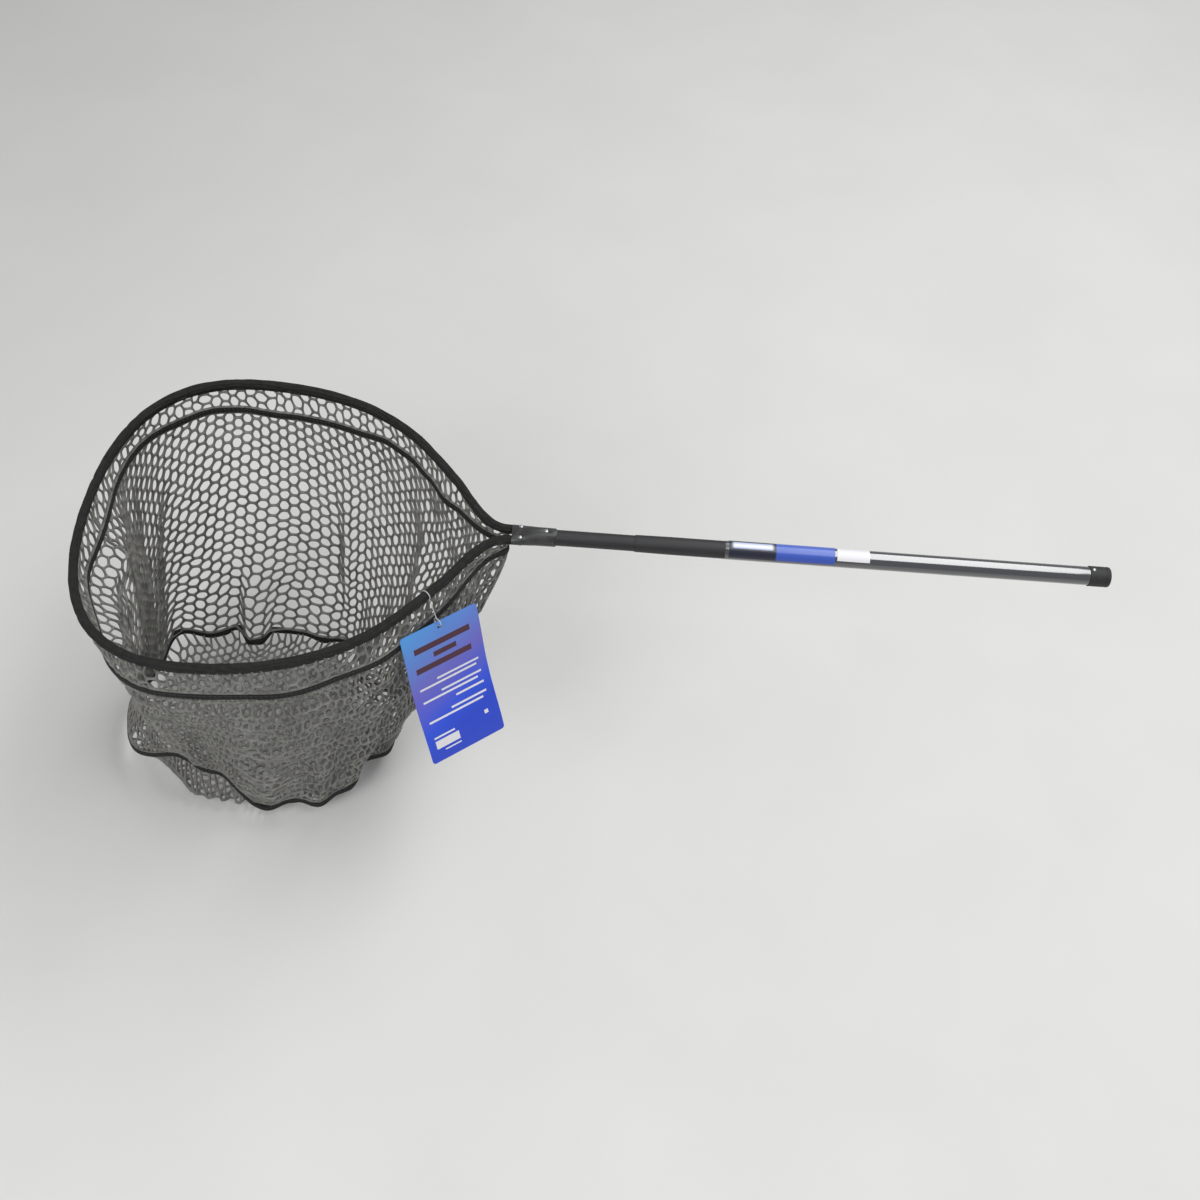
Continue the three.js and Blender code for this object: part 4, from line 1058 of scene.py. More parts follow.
class LANDINGNET_OT_floor_net(bpy.types.Operator):
    """Lay the floor panel of netting inside the floor tape"""

    bl_idname = "landing_net.floor_net"
    bl_label = "Floor netting"

    def execute(self, context):
        settings = context.scene.landing_net_netting
        column, pitch = settings.column * FLOOR_CLOSENESS, settings.row * FLOOR_CLOSENESS
        columns = 2 * math.ceil(FLOOR_HALF_LENGTH / column)
        rows = 2 * math.ceil(FLOOR_HALF_WIDTH / pitch)
        sheet = hexagon_sheet("floor_net_strands", columns, rows)
        flat = (places(sheet) - [columns / 2, rows / 2, 0]) * [column, pitch, 0]
        flat = self.drawn_in(flat)
        move_to(sheet, flat)
        rim = self.cut_out(sheet, self.reach(flat))
        flat = places(sheet)
        reach = self.reach(flat)
        flat[rim] *= (1 / reach[rim])[:, None]
        reach[rim] = 1
        freedom = smooth((1 - reach) / FLOOR_MARGIN)
        move_to(sheet, ruffle(self.laid(flat, reach), FLOOR_RUFFLE, FLOOR_SEED, freedom))
        knit(sheet, settings.strand)
        finish(sheet, coated_netting(settings), NET_BODY, "coated_mesh", "floor_net")
        return {"FINISHED"}

    def cut_out(self, sheet, reach):
        """Cuts away the cells that pass the outline, and tells which points lie on the rim that is left."""
        edit(sheet)
        bpy.ops.mesh.select_mode(type="FACE")
        bpy.ops.mesh.select_all(action="DESELECT")
        close()
        for face in sheet.data.polygons:
            face.select = bool(max(reach[i] for i in face.vertices) > 1)
        bpy.ops.object.mode_set(mode="EDIT")
        bpy.ops.mesh.delete(type="FACE")
        bpy.ops.mesh.select_mode(type="VERT")
        bpy.ops.mesh.select_all(action="SELECT")
        bpy.ops.mesh.region_to_loop()
        close()
        return np.array([v.select for v in sheet.data.vertices])

    def reach(self, flat):
        """How far out each point lies, 1 on the floor's outline."""
        shares = np.abs(flat[:, :2]) / np.array([FLOOR_HALF_LENGTH, FLOOR_HALF_WIDTH])
        return (shares**FLOOR_SQUARENESS).sum(axis=1) ** (1 / FLOOR_SQUARENESS)

    def drawn_in(self, flat):
        """The flat panel with the spare netting of its near edge gathered inside the outline."""
        x, y = flat[:, 0], flat[:, 1]
        place = np.interp(-x, FLOOR_X - FLOOR[:, 0], PLACE)
        edge = np.maximum(np.interp(place, PLACE, FLOOR[:, 1]), MM)
        spare = 1 + BULGE_SPARE * np.interp(place, BULGE_PLACES, BULGE_FULLNESS)
        share = -y / edge
        gathered = BULGE_FROM + (share - BULGE_FROM) * (1 - BULGE_FROM) / (spare - BULGE_FROM)
        return np.column_stack([x, np.where(share > BULGE_FROM, -gathered * edge, y), 0 * x])

    def laid(self, flat, reach):
        """Points of the flat panel laid in the pushed outline: it sags, and bulges under a lifted edge."""
        bearing = np.arctan2(np.abs(flat[:, 1]), flat[:, 0])
        place = np.interp(bearing, np.arctan2(FLOOR[:, 1], FLOOR[:, 0] - FLOOR_X), PLACE)
        near = flat[:, 1] < 0
        push_far, push_near = [
            points_at(place, PLACE, floor_edge(side) - stood(FLOOR, side, FLOOR_Z)) for side in (1, -1)
        ]
        push = np.where(near[:, None], push_near, push_far)
        lifted = np.where(near, np.interp(place, BULGE_PLACES, BULGE_FULLNESS), 0)
        rising = np.clip((reach - BULGE_FROM) / (1 - BULGE_FROM), 0, 1)
        outer = 1 - (1 - np.minimum(rising / BULGE_TURN, 1)) ** BULGE_ROUND
        bulged = np.where(rising > 0, BULGE_FROM + (1 - BULGE_FROM) * outer, reach)
        wide = reach + lifted * (bulged - reach)
        turned_up = smooth((rising - BULGE_RISE) / (1 - BULGE_RISE))
        follow = (1 - lifted) * reach**FLOOR_FOLLOW + lifted * turned_up
        low = RIM_Z - FLOOR_SAG * (1 - wide**2)
        low -= lifted * BULGE_DROP * smooth(rising / BULGE_TURN) * (1 - turned_up)
        spread = wide / np.maximum(reach, 1e-6)
        base = np.column_stack([flat[:, :2] * spread[:, None] + [FLOOR_X + MOUTH_X, 0], low])
        return base + push * follow[:, None]


# Sewn fabric

TAPE_WRAP = 6.4 * MM  # tape folded over the netting's edges
TAPE_STEPS = 420
TAPE_WAVER = 1.2 * MM  # how far a sewn tape wavers up and down
TAPE_WAVER_SPAN = 13  # steps that waver together
TAPE_YARNS = (1.2 * MM, 2.4 * MM)  # between the ribs along and across a tape
TAPE_SEAM = (0.45 * TAPE_WRAP, 0.27 * TAPE_HEIGHT)  # rows of stitches, out from its middle and up
TAPE_SEEDS = {"collar": 3, "floor": 4}

# Half of a tape's section, from its upper to its lower edge, as shares of its half thickness and height
TAPE_SIDE = ((0.55, 1), (1, 0.8), (0.9, 0.45), (0.8, 0), (0.9, -0.45), (1, -0.8), (0.55, -1))


def tape_section(height, thickness):
    """A folded binding tape: rounded edges and a slight waist between its two rows of stitches."""
    side = [(out * thickness / 2, rise * height / 2) for out, rise in TAPE_SIDE]
    return [*reversed(side), *[(-out, rise) for out, rise in side]]


def sew(name, line, lifts, settings):
    """Sews rows of stitches along a line with the fabric's thread."""
    finish(stitches(name, line, lifts, settings), spun_thread(settings.thread), NET_BODY, "webbing")


def binding_tape(name, halves, settings, node, seed):
    """A woven tape sewn round the bag, along a far and a near half line from nose to tip."""
    far, near = halves
    line = np.vstack([far[:-1], near[1:][::-1]])
    loop = evenly(looped(line), TAPE_STEPS + 1)[:-1]
    waver = np.tile(np.random.default_rng(seed).normal(0, 1, TAPE_STEPS), 3)
    loop[:, 2] += TAPE_WAVER * softened(waver, TAPE_WAVER_SPAN)[TAPE_STEPS : 2 * TAPE_STEPS]
    tape = sweep(name, loop, [tape_section(TAPE_HEIGHT, TAPE_WRAP)] * TAPE_STEPS, True)
    webbing = woven_polyester(name + "_webbing", settings.tape, *TAPE_YARNS)
    finish(tape, webbing, NET_BODY, "webbing", node)
    lifts = [(side * TAPE_SEAM[0], level * TAPE_SEAM[1]) for side in (1, -1) for level in (1, -1)]
    sew(name + "_stitches", looped(loop), lifts, settings)


class LANDINGNET_OT_tapes(bpy.types.Operator):
    """Sew the binding tapes round the collar's lower edge and round the floor"""

    bl_idname = "landing_net.tapes"
    bl_label = "Binding tapes"

    def execute(self, context):
        settings = context.scene.landing_net_fabric
        collar = [collar_edge(side, COLLAR_TAPE_LOW.z + TAPE_HEIGHT / 2) for side in (1, -1)]
        floor = [floor_edge(side) for side in (1, -1)]
        binding_tape("collar_tape_binding", collar, settings, "collar_tape", TAPE_SEEDS["collar"])
        binding_tape("floor_tape_binding", floor, settings, "floor_tape", TAPE_SEEDS["floor"])
        return {"FINISHED"}


HEM_DROP = 11.5 * MM
HEM_HALF = 1.9 * MM
HEM_NECK = 0.7  # share of its drop at which the hem is pinched to its thickness
HEM_ROUND = 0.6 * MM
HEM_SEAM = 2.2 * MM  # stitches below the tube
HEM_STARTS = 14 * MM  # from the yoke's mouth
HEM_GROWS = 30 * MM  # length over which it comes to its full drop
HEM_SEWN = 0.6  # share of its drop from which it is stitched
SLEEVE_STEPS = 401
SLEEVE_SIDES = 33
SLEEVE_ROUND = (-62, 242)  # degrees round the hoop, from one side of the hem to the other
SLEEVE_CREASES = 7  # lengthwise, round the hoop
SLEEVE_CREASE = 0.12  # height of a crease as a share of the radius
SLEEVE_FILL = 0.98  # mean radius, as a share of the frame's
SLEEVE_SWELL = 0.05  # how much the radius varies along the hoop
SLEEVE_TWIST = 1.5  # how fast the creases wander round the hoop
SLEEVE_SPAN = 9  # steps that swell and twist together
SLEEVE_YARNS = (1.5 * MM, 2.1 * MM)
SLEEVE_SEED = 11


def sleeve_section(swell, hem, turn):
    """A fabric tube round the hoop with lengthwise creases, pinched below into a sewn hem."""
    angle = np.radians(np.linspace(*SLEEVE_ROUND, SLEEVE_SIDES))
    radius = SLEEVE_R * (swell + SLEEVE_CREASE * np.cos(SLEEVE_CREASES * angle + turn))
    ring = list(zip(radius * np.cos(angle), radius * np.sin(angle)))
    low = -SLEEVE_R - (HEM_DROP - SLEEVE_R) * hem
    neck = HEM_NECK * low - (1 - HEM_NECK) * SLEEVE_R
    flange = [(-HEM_HALF, neck), (-HEM_HALF, low + HEM_ROUND), (0, low), (HEM_HALF, low + HEM_ROUND),
              (HEM_HALF, neck)]
    return [*reversed([*ring, *flange])]


class LANDINGNET_OT_hoop_sleeve(bpy.types.Operator):
    """Pull the fabric sleeve over the hoop and stitch its hem"""

    bl_idname = "landing_net.hoop_sleeve"
    bl_label = "Hoop sleeve"

    def execute(self, context):
        settings = context.scene.landing_net_fabric
        half = np.vstack([[-SEAM, LEG_Y], hoop_half()])
        line = evenly(stood(np.vstack([half, (half * [1, -1])[::-1][1:]]), 1, 0), SLEEVE_STEPS)
        rng = np.random.default_rng(SLEEVE_SEED)
        swell = SLEEVE_FILL + SLEEVE_SWELL * softened(rng.normal(0, 1, SLEEVE_STEPS), SLEEVE_SPAN)
        turn = SLEEVE_TWIST * np.cumsum(softened(rng.normal(0, 1, SLEEVE_STEPS), SLEEVE_SPAN))
        hem = smooth((MOUTH_X - HEM_STARTS - line[:, 0]) / HEM_GROWS)
        sections = [sleeve_section(*each) for each in zip(swell, hem, turn)]
        sleeve = sweep("hoop_sleeve_fabric", line, sections, False)
        fabric = woven_polyester("sleeve_polyester", settings.sleeve, *SLEEVE_YARNS)
        finish(sleeve, fabric, NET_BODY, "webbing", "hoop_sleeve")
        lifts = [(HEM_HALF, -SLEEVE_R - HEM_SEAM), (-HEM_HALF, -SLEEVE_R - HEM_SEAM)]
        sew("hoop_sleeve_stitches", line[hem > HEM_SEWN], lifts, settings)
        return {"FINISHED"}


# Handle

SHANK_WALL = 1.4 * MM
SHANK_EDGE = 0.3 * MM
SWAGE_BORE = 0.2 * MM  # the handle tube's bore round the shank
SWAGE_NOSE = 0.75 * MM  # its front end above the shank
SWAGE_LIP = (3 * MM, 0.12 * MM)  # length of the lip of its front end, and how far that flares
SWAGE_LENGTH = 46 * MM
SWAGE_EDGE = 0.25 * MM
GRIP_PLAY = 0.1 * MM
GRIP_EDGE = (0.4 * MM, 0.35 * MM)  # along and down
GRIP_STEPS = 96
GRIP_RIPPLE = 0.08 * MM
GRIP_RIPPLE_SPAN = 7
GRIP_SEED = 5
CAP_PLAY = 0.2 * MM
CAP_COVER = 13 * MM  # of the handle tube's end
CAP_SOLID = 14 * MM
CAP_CORNER = 3 * MM
CAP_RIM = 0.3 * MM
CAP_GROOVE = 7 * MM  # from the cap's end
CAP_GROOVE_HALF = (1.2 * MM, 0.8 * MM)  # at its top and foot
CAP_GROOVE_DEPTH = 0.5 * MM


class LANDINGNET_OT_handle(bpy.types.Operator):
    """Turn the tubes, the grip sleeve and the butt cap, and give the hidden pieces their finish"""

    bl_idname = "landing_net.handle"
    bl_label = "Handle"

    def execute(self, context):
        settings = context.scene.landing_net_handle
        metal = anodised_aluminium(settings.tube)
        rubber = moulded_rubber(settings.cap)
        self.shank(metal)
        self.tube(metal)
        self.grip(glossy_vinyl(settings.grip))
        self.cap(rubber)
        dress("hoop_tube", metal)
        for plug in ("far_leg_plug", "near_leg_plug", "shank_plug"):
            dress(plug, rubber)
        dress("handle_foam_core", closed_cell_foam())
        return {"FINISHED"}

    def shank(self, material):
        low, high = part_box("shank_tube")
        outer, inner = high.z, high.z - SHANK_WALL
        profile = [
            (low.x, inner), (low.x, outer - SHANK_EDGE), (low.x + SHANK_EDGE, outer),
            (high.x - SHANK_EDGE, outer), (high.x, outer - SHANK_EDGE), (high.x, inner),
        ]
        finish(turned("shank_tube_drawn", profile), material, NET_BODY, "dark_aluminium", "shank_tube")

    def tube(self, material):
        low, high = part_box("handle_tube")
        shank_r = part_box("shank_tube")[1].z
        bore, nose, edge = shank_r + SWAGE_BORE, shank_r + SWAGE_NOSE, SWAGE_EDGE
        profile = [
            (low.x, bore), (low.x, nose - edge), (low.x + edge, nose),
            (low.x + SWAGE_LIP[0], nose + SWAGE_LIP[1]), (low.x + SWAGE_LENGTH, high.z),
            (high.x - edge, high.z), (high.x, high.z - edge), (high.x, bore),
        ]
        finish(turned("handle_tube_drawn", profile), material, NET_BODY, "dark_aluminium", "handle_tube")

    def grip(self, material):
        low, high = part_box("grip_sleeve")
        inner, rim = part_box("handle_tube")[1].z + GRIP_PLAY, high.z - GRIP_EDGE[1]
        rng = np.random.default_rng(GRIP_SEED)
        ripple = softened(rng.normal(0, GRIP_RIPPLE, GRIP_STEPS), GRIP_RIPPLE_SPAN)
        xs = np.linspace(low.x + GRIP_EDGE[0], high.x - GRIP_EDGE[0], GRIP_STEPS)
        outer = [(x, high.z + r) for x, r in zip(xs, ripple)]
        profile = [(low.x, inner), (low.x, rim), *outer, (high.x, rim), (high.x, inner)]
        finish(turned("grip_sleeve_shrunk", profile), material, NET_BODY, "glossy_vinyl", "grip_sleeve")

    def cap(self, material):
        end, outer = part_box("butt_cap")[1].x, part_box("butt_cap")[1].z
        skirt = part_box("handle_tube")[1].x - CAP_COVER
        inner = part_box("grip_sleeve")[1].z + CAP_PLAY
        corner = [(end - CAP_CORNER * (1 - math.sin(a)), outer - CAP_CORNER * (1 - math.cos(a)))
                  for a in np.linspace(0, math.pi / 2, 7)]
        groove, (top, foot), bottom = end - CAP_GROOVE, CAP_GROOVE_HALF, outer - CAP_GROOVE_DEPTH
        profile = [
            (skirt, inner), (skirt, outer - CAP_RIM), (skirt + CAP_RIM, outer), (groove - top, outer),
            (groove - foot, bottom), (groove + foot, bottom), (groove + top, outer), *corner, (end, 0),
            (end - CAP_SOLID, 0), (end - CAP_SOLID, inner),
        ]
        finish(turned("butt_cap_moulded", profile), material, NET_BODY, "rubber", "butt_cap")


YOKE_WELD = 0.01 * MM
YOKE_FLAT = math.radians(2)  # faces that meet at less become one
YOKE_ROUND = 0.45 * MM
YOKE_EDGE = math.radians(40)  # edges that are sharper get rounded


class LANDINGNET_OT_yoke(bpy.types.Operator):
    """Round the edges of the two yoke halves and give the rivets their bare aluminium finish"""

    bl_idname = "landing_net.yoke"
    bl_label = "Yoke and rivets"

    def execute(self, context):
        settings = context.scene.landing_net_handle
        nylon = moulded_nylon(settings.yoke)
        for node in ("yoke_upper", "yoke_lower"):
            piece = frame["nodes"][node].copy()
            piece.data = frame["nodes"][node].data.copy()
            piece.name = piece.data.name = node + "_moulded"
            for key in list(piece.keys()):
                del piece[key]
            piece.parent = None
            bpy.context.collection.objects.link(piece)
            edit(piece)
            bpy.ops.mesh.remove_doubles(threshold=YOKE_WELD)
            bpy.ops.mesh.dissolve_limited(angle_limit=YOKE_FLAT)
            close()
            apply_modifier(piece, "BEVEL", width=YOKE_ROUND, segments=2, limit_method="ANGLE",
                           angle_limit=YOKE_EDGE)
            bpy.ops.object.shade_smooth_by_angle(angle=YOKE_EDGE)
            finish(piece, nylon, NET_BODY, "moulded_nylon", node)
        metal = bare_aluminium(settings.rivet)
        for node in ("far_leg_rivet", "near_leg_rivet", "shank_rivet", "butt_rivet"):
            dress(node, metal)
        return {"FINISHED"}


LABEL_SPAN = math.radians(152)  # round the handle
STICKER_SPAN = math.radians(92)
STICKERS_FACE = math.radians(103.5)  # where their middles lie, round the handle
STICKER_FILM = 0.2 * MM
STICKER_GAP = 0.2 * MM
STICKER_SEGMENTS = 40


class LANDINGNET_OT_stickers(bpy.types.Operator):
    """Wrap the printed label and the price sticker round the grip"""

    bl_idname = "landing_net.stickers"
    bl_label = "Handle stickers"

    def execute(self, context):
        settings = context.scene.landing_net_print
        low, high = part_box("handle_label")
        label = printed_label(settings, low.x, high.x)
        self.wrap("handle_label_film", "handle_label", label, "label_film", LABEL_SPAN)
        paper = paper_sticker(settings)
        self.wrap("price_sticker_paper", "price_sticker", paper, "white_paper", STICKER_SPAN)
        return {"FINISHED"}

    def wrap(self, name, node, material, slot, span):
        low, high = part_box(node)
        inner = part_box("grip_sleeve")[1].z + STICKER_GAP
        outer = inner + STICKER_FILM
        profile = [(low.x, inner), (low.x, outer), (high.x, outer), (high.x, inner)]
        piece = turned(name, profile, STICKER_SEGMENTS, span, STICKERS_FACE + span / 2)
        edit(piece)
        bpy.ops.mesh.select_mode(type="EDGE")
        bpy.ops.mesh.select_all(action="DESELECT")
        bpy.ops.mesh.select_non_manifold()
        bpy.ops.mesh.fill()
        bpy.ops.mesh.select_all(action="SELECT")
        bpy.ops.mesh.normals_make_consistent(inside=False)
        bpy.ops.mesh.select_mode(type="VERT")
        close()
        finish(piece, material, NET_BODY, slot, node)


# Hang tag

TAG_JOINT = frame["joints"][0]
TAG_WIDTH = 118 * MM
TAG_HEIGHT = 226 * MM
TAG_THICKNESS = 0.9 * MM
TAG_CORNER = 5 * MM
TAG_CORNER_POINTS = 7
TAG_YAW = math.radians(37.5)
TAG_LEAN = math.radians(19)
TAG_DROP = 44 * MM
TAG_STAND_OFF = 5 * MM
TAG_TURN = math.radians(-4)
TAG_HOLE_R = 3 * MM
TAG_HOLE_INSET = 9 * MM
TAG_HOLE_POINTS = 20
TAG_CURL_STRIPS = (14, 24)  # across and down, in which the card can curl
TAG_EDGE = math.radians(30)

# Printed bars and boxes: left, right, top and foot as shares of the tag, and the ink's slot
MAROON, WHITE = 1, 2
TAG_PRINT = [
    (0.13, 0.86, 0.12, 0.165, MAROON), (0.36, 0.66, 0.2, 0.24, MAROON), (0.11, 0.84, 0.275, 0.32, MAROON),
    (0.34, 0.9, 0.405, 0.42, WHITE), (0.1, 0.86, 0.44, 0.455, WHITE), (0.36, 0.9, 0.505, 0.52, WHITE),
    (0.1, 0.84, 0.54, 0.555, WHITE), (0.52, 0.9, 0.59, 0.605, WHITE), (0.42, 0.9, 0.66, 0.675, WHITE),
    (0.1, 0.84, 0.695, 0.71, WHITE), (0.1, 0.38, 0.815, 0.828, WHITE), (0.1, 0.42, 0.845, 0.905, WHITE),
    (0.2, 0.42, 0.925, 0.935, WHITE), (0.8, 0.85, 0.8, 0.828, WHITE),
]


class LANDINGNET_OT_hang_tag(bpy.types.Operator):
    """Cut, print and curl the hang tag, and finish its loop"""

    bl_idname = "landing_net.hang_tag"
    bl_label = "Hang tag"

    def execute(self, context):
        settings = context.scene.landing_net_print
        tag = self.card()
        self.cut_lines()
        close()
        self.printed(tag, settings)
        move_to(tag, self.hung(places(tag), settings.bow))
        apply_modifier(tag, "SOLIDIFY", thickness=TAG_THICKNESS, offset=0)
        bpy.ops.object.shade_smooth_by_angle(angle=TAG_EDGE)
        ride(tag, TAG_BODY, "printed_card", "hang_tag")
        dress("tag_loop", clear_nylon())
        return {"FINISHED"}

    def card(self):
        """A flat rounded card with a punched hole, its top edge on y = 0, facing +z, open for editing."""
        outline = []
        half, foot = TAG_WIDTH / 2 - TAG_CORNER, TAG_CORNER - TAG_HEIGHT
        corners = ((half, -TAG_CORNER, 0), (-half, -TAG_CORNER, 90), (-half, foot, 180), (half, foot, 270))
        for x, y, start in corners:
            for turn in np.radians(np.linspace(start, start + 90, TAG_CORNER_POINTS)):
                outline.append((x + TAG_CORNER * math.cos(turn), y + TAG_CORNER * math.sin(turn), 0))
        hole = [(TAG_HOLE_R * math.cos(a), -TAG_HOLE_INSET + TAG_HOLE_R * math.sin(a), 0)
                for a in np.linspace(0, 2 * math.pi, TAG_HOLE_POINTS, endpoint=False)]
        count = len(outline)
        edges = [(i, (i + 1) % count) for i in range(count)]
        edges += [(count + i, count + (i + 1) % len(hole)) for i in range(len(hole))]
        card = new_piece("hang_tag_card", [*outline, *hole], [], edges)
        edit(card)
        bpy.ops.mesh.fill()
        return card

    def cut_lines(self):
        """Cuts the card along the edges of its print and along even lines, so that it can curl."""
        strips_across, strips_down = TAG_CURL_STRIPS
        across = {-TAG_HEIGHT * share for bar in TAG_PRINT for share in bar[2:4]}
        across |= {-TAG_HEIGHT * i / strips_down for i in range(1, strips_down)}
        down = {TAG_WIDTH * (share - 0.5) for bar in TAG_PRINT for share in bar[:2]}
        down |= {TAG_WIDTH * (i / strips_across - 0.5) for i in range(1, strips_across)}
        cuts = [((0, y, 0), (0, 1, 0)) for y in sorted(across)]
        cuts += [((x, 0, 0), (1, 0, 0)) for x in sorted(down)]
        for spot, way in cuts:
            bpy.ops.mesh.select_all(action="SELECT")
            bpy.ops.mesh.bisect(plane_co=spot, plane_no=way)
        bpy.ops.mesh.select_all(action="SELECT")
        bpy.ops.mesh.normals_make_consistent(inside=False)

    def printed(self, tag, settings):
        """Lays the print's map on the flat card and inks its bars and boxes."""
        layer = tag.data.uv_layers.new(name="Print").data
        for loop in tag.data.loops:
            layer[loop.index].uv = self.shares(tag.data.vertices[loop.vertex_index].co)
        tag.data.materials.append(printed_card(settings))
        tag.data.materials.append(printing_ink("maroon_ink", settings.maroon))
        tag.data.materials.append(printing_ink("white_ink", settings.white))
        for face in tag.data.polygons:
            u, v = self.shares(face.center)
            for left, right, top, foot, ink in TAG_PRINT:
                if left < u < right and top < v < foot:
                    face.material_index = ink

    def shares(self, spot):
        """How far a point of the flat card lies across and down it."""
        return spot.x / TAG_WIDTH + 0.5, -spot.y / TAG_HEIGHT

    def hung(self, flat, bow):
        """The flat card hung from its loop, leaning on the collar, turned about its hole and bowed."""
        axis = np.array(TAG_JOINT["axis"])
        away = np.array([-axis[1], axis[0], 0])
        back = bow * (1 - np.cos(2 * math.pi * flat[:, 1] / TAG_HEIGHT)) / 2
        below = flat[:, 1] + TAG_HOLE_INSET
        side = flat[:, 0] * math.cos(TAG_TURN) - below * math.sin(TAG_TURN)
        height = flat[:, 0] * math.sin(TAG_TURN) + below * math.cos(TAG_TURN) - TAG_HOLE_INSET - TAG_DROP
        across = np.array([math.cos(TAG_YAW), math.sin(TAG_YAW), 0])
        facing = np.array([math.sin(TAG_YAW), -math.cos(TAG_YAW), 0])
        level = np.outer(side, across) - np.outer(back, facing)
        out = level @ away + TAG_STAND_OFF
        leaned = out * math.cos(TAG_LEAN) - height * math.sin(TAG_LEAN)
        points = np.outer(level @ axis, axis) + np.outer(leaned, away) + np.array(TAG_JOINT["pos_m"])
        points[:, 2] += height * math.cos(TAG_LEAN) + out * math.sin(TAG_LEAN)
        return points


# Stage

EYE_ELEVATION = math.radians(51)
EYE_AZIMUTH = math.radians(-2)
EYE_ROLL = math.radians(5.61)
EYE_DISTANCE = 1914 * MM
EYE_TARGET = (-434.5 * MM, -104.2 * MM, 0)
EYE_LENS = 43.23  # in millimetres, as the sensor
EYE_SENSOR = 36
FLOOR_DROP = 26 * MM  # pale floor below the lowest netting
STAGE_SIZE = 14  # metres
STAGE_X = -0.4

# Lamps: place, target and size in metres, and power in watts
LAMPS = {
    "ceiling_softbox": ((0.95, 0.6, 3.5), (0.95, 0, 0), (1.5, 5.6), 130),
    "front_softbox": ((-2.2, -2.6, 2.4), (-0.7, -0.1, -0.2), (1.8, 1.8), 55),
}
ROOM_COLOUR = (0.93, 0.94, 0.95, 1)
ROOM_LIGHT = 0.32  # how strongly the room lights the net
ROOM_SEEN = 0.5  # how bright it looks, also where metal or clear nylon shows it


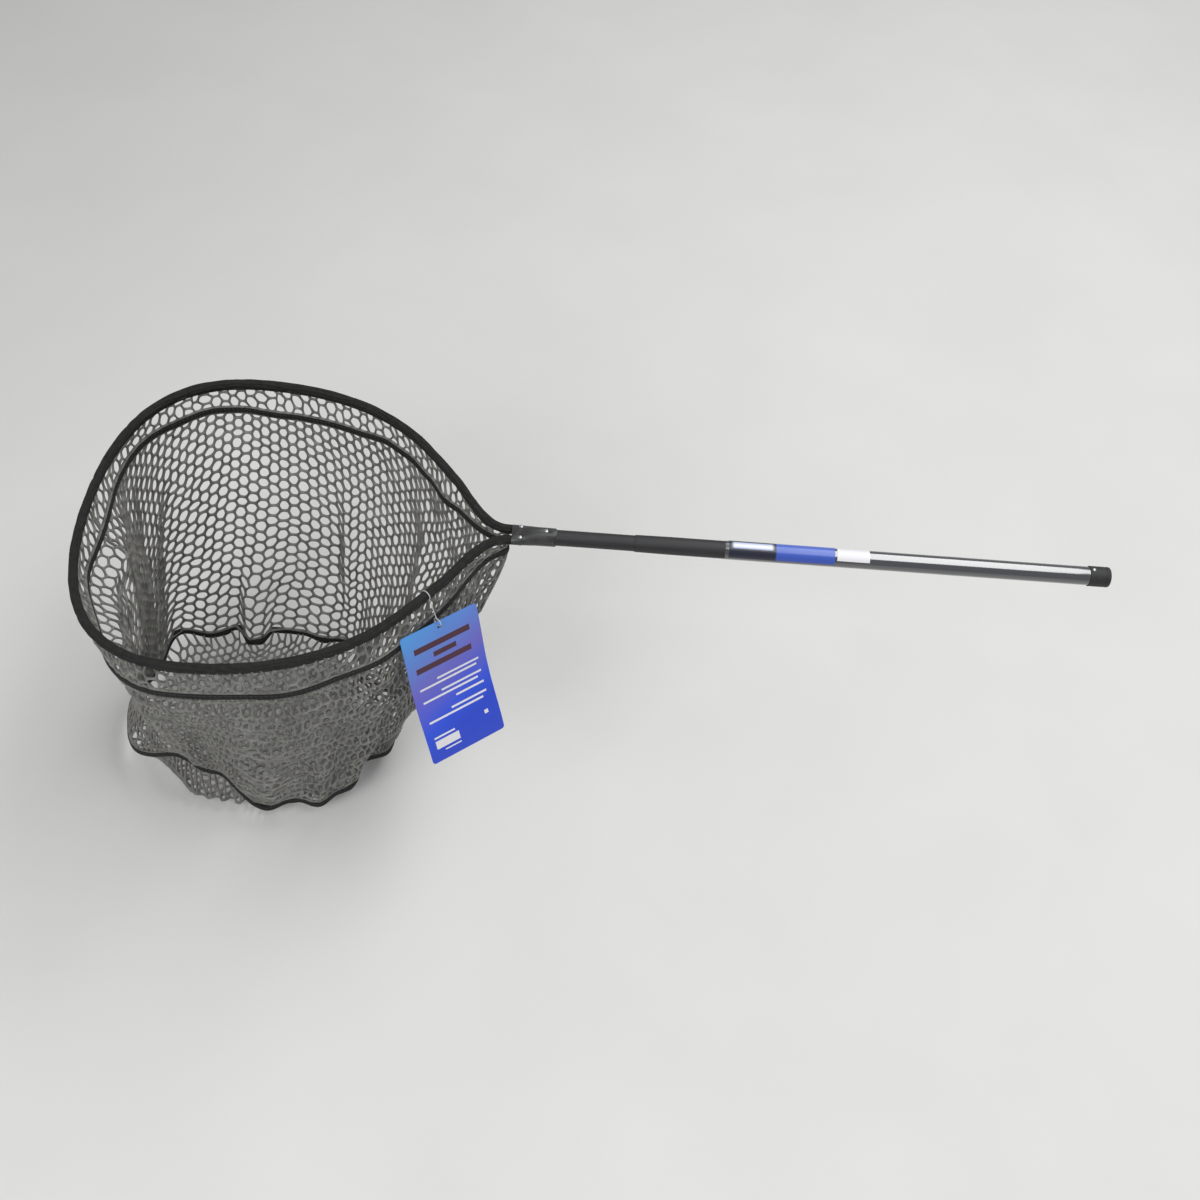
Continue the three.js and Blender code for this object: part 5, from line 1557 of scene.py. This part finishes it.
class LANDINGNET_OT_stage(bpy.types.Operator):
    """Set the camera, the soft lights and the pale floor"""

    bl_idname = "landing_net.stage"
    bl_label = "Stage"

    def execute(self, context):
        scene = context.scene
        scene.view_settings.view_transform = "Standard"
        self.camera(scene)
        self.floor()
        for name, settings in LAMPS.items():
            self.lamp(name, *settings)
        self.room(scene)
        return {"FINISHED"}

    def camera(self, scene):
        back = Vector((
            math.sin(EYE_AZIMUTH) * math.cos(EYE_ELEVATION),
            -math.cos(EYE_AZIMUTH) * math.cos(EYE_ELEVATION),
            math.sin(EYE_ELEVATION),
        ))
        right = Vector((0, 0, 1)).cross(back).normalized()
        up = back.cross(right)
        rolled_right = right * math.cos(EYE_ROLL) + up * math.sin(EYE_ROLL)
        rolled_up = up * math.cos(EYE_ROLL) - right * math.sin(EYE_ROLL)
        data = bpy.data.cameras.new("eye")
        data.lens = EYE_LENS
        data.sensor_width = EYE_SENSOR
        eye = bpy.data.objects.new("eye", data)
        scene.collection.objects.link(eye)
        turn = Matrix((rolled_right, rolled_up, back)).transposed().to_4x4()
        eye.matrix_world = Matrix.Translation(Vector(EYE_TARGET) + back * EYE_DISTANCE) @ turn
        scene.camera = eye

    def floor(self):
        deselect()
        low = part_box("floor_net")[0].z - FLOOR_DROP
        bpy.ops.mesh.primitive_plane_add(size=STAGE_SIZE, location=(STAGE_X, 0, low))
        floor = bpy.context.object
        floor.name = "pale_floor"
        floor.data.materials.append(floor_paint())

    def lamp(self, name, place, target, size, watts):
        data = bpy.data.lights.new(name, "AREA")
        data.shape = "RECTANGLE"
        data.size, data.size_y = size
        data.energy = watts
        lamp = bpy.data.objects.new(name, data)
        bpy.context.collection.objects.link(lamp)
        lamp.location = place
        way = Vector(target) - Vector(place)
        lamp.rotation_euler = way.to_track_quat("-Z", "Y").to_euler()

    def room(self, scene):
        """A pale room all round, which looks brighter than it lights."""
        scene.world = bpy.data.worlds.new("pale_room")
        scene.world.use_nodes = True
        tree = scene.world.node_tree
        ray = put(tree, "ShaderNodeLightPath").outputs
        mirrored = sum_of(tree, "MAXIMUM", ray["Is Glossy Ray"], ray["Is Transmission Ray"])
        seen = sum_of(tree, "MAXIMUM", ray["Is Camera Ray"], mirrored)
        feed(tree, tree.nodes["Background"], Color=ROOM_COLOUR,
             Strength=between(tree, seen, ROOM_LIGHT, ROOM_SEEN))


class LANDINGNET_PT_panel(bpy.types.Panel):
    """Lists the steps that dress the landing net"""

    bl_idname = "LANDINGNET_PT_panel"
    bl_label = "Landing Net"
    bl_space_type = "VIEW_3D"
    bl_region_type = "UI"
    bl_category = "Landing Net"

    def draw(self, context):
        for group in PROPERTY_GROUPS:
            settings = getattr(context.scene, group)
            for name in settings.__annotations__:
                self.layout.prop(settings, name)
        for step in STEPS:
            self.layout.operator(step.bl_idname)


PROPERTY_GROUPS = {
    "landing_net_netting": LANDINGNET_PG_netting,
    "landing_net_fabric": LANDINGNET_PG_fabric,
    "landing_net_handle": LANDINGNET_PG_handle,
    "landing_net_print": LANDINGNET_PG_print,
}
STEPS = (
    LANDINGNET_OT_stage,
    LANDINGNET_OT_hoop_sleeve,
    LANDINGNET_OT_collar_net,
    LANDINGNET_OT_tapes,
    LANDINGNET_OT_wall_nets,
    LANDINGNET_OT_floor_net,
    LANDINGNET_OT_handle,
    LANDINGNET_OT_yoke,
    LANDINGNET_OT_stickers,
    LANDINGNET_OT_hang_tag,
)


def register():
    for cls in (*PROPERTY_GROUPS.values(), *STEPS, LANDINGNET_PT_panel):
        bpy.utils.register_class(cls)
    for name, group in PROPERTY_GROUPS.items():
        setattr(bpy.types.Scene, name, PointerProperty(type=group))


def unregister():
    for name in PROPERTY_GROUPS:
        delattr(bpy.types.Scene, name)
    for cls in reversed((*PROPERTY_GROUPS.values(), *STEPS, LANDINGNET_PT_panel)):
        bpy.utils.unregister_class(cls)


def main():
    register()
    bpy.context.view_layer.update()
    bpy.ops.landing_net.stage()
    bpy.ops.landing_net.hoop_sleeve()
    bpy.ops.landing_net.collar_net()
    bpy.ops.landing_net.tapes()
    bpy.ops.landing_net.wall_nets()
    bpy.ops.landing_net.floor_net()
    bpy.ops.landing_net.handle()
    bpy.ops.landing_net.yoke()
    bpy.ops.landing_net.stickers()
    bpy.ops.landing_net.hang_tag()


if __name__ == "__main__":
    main()
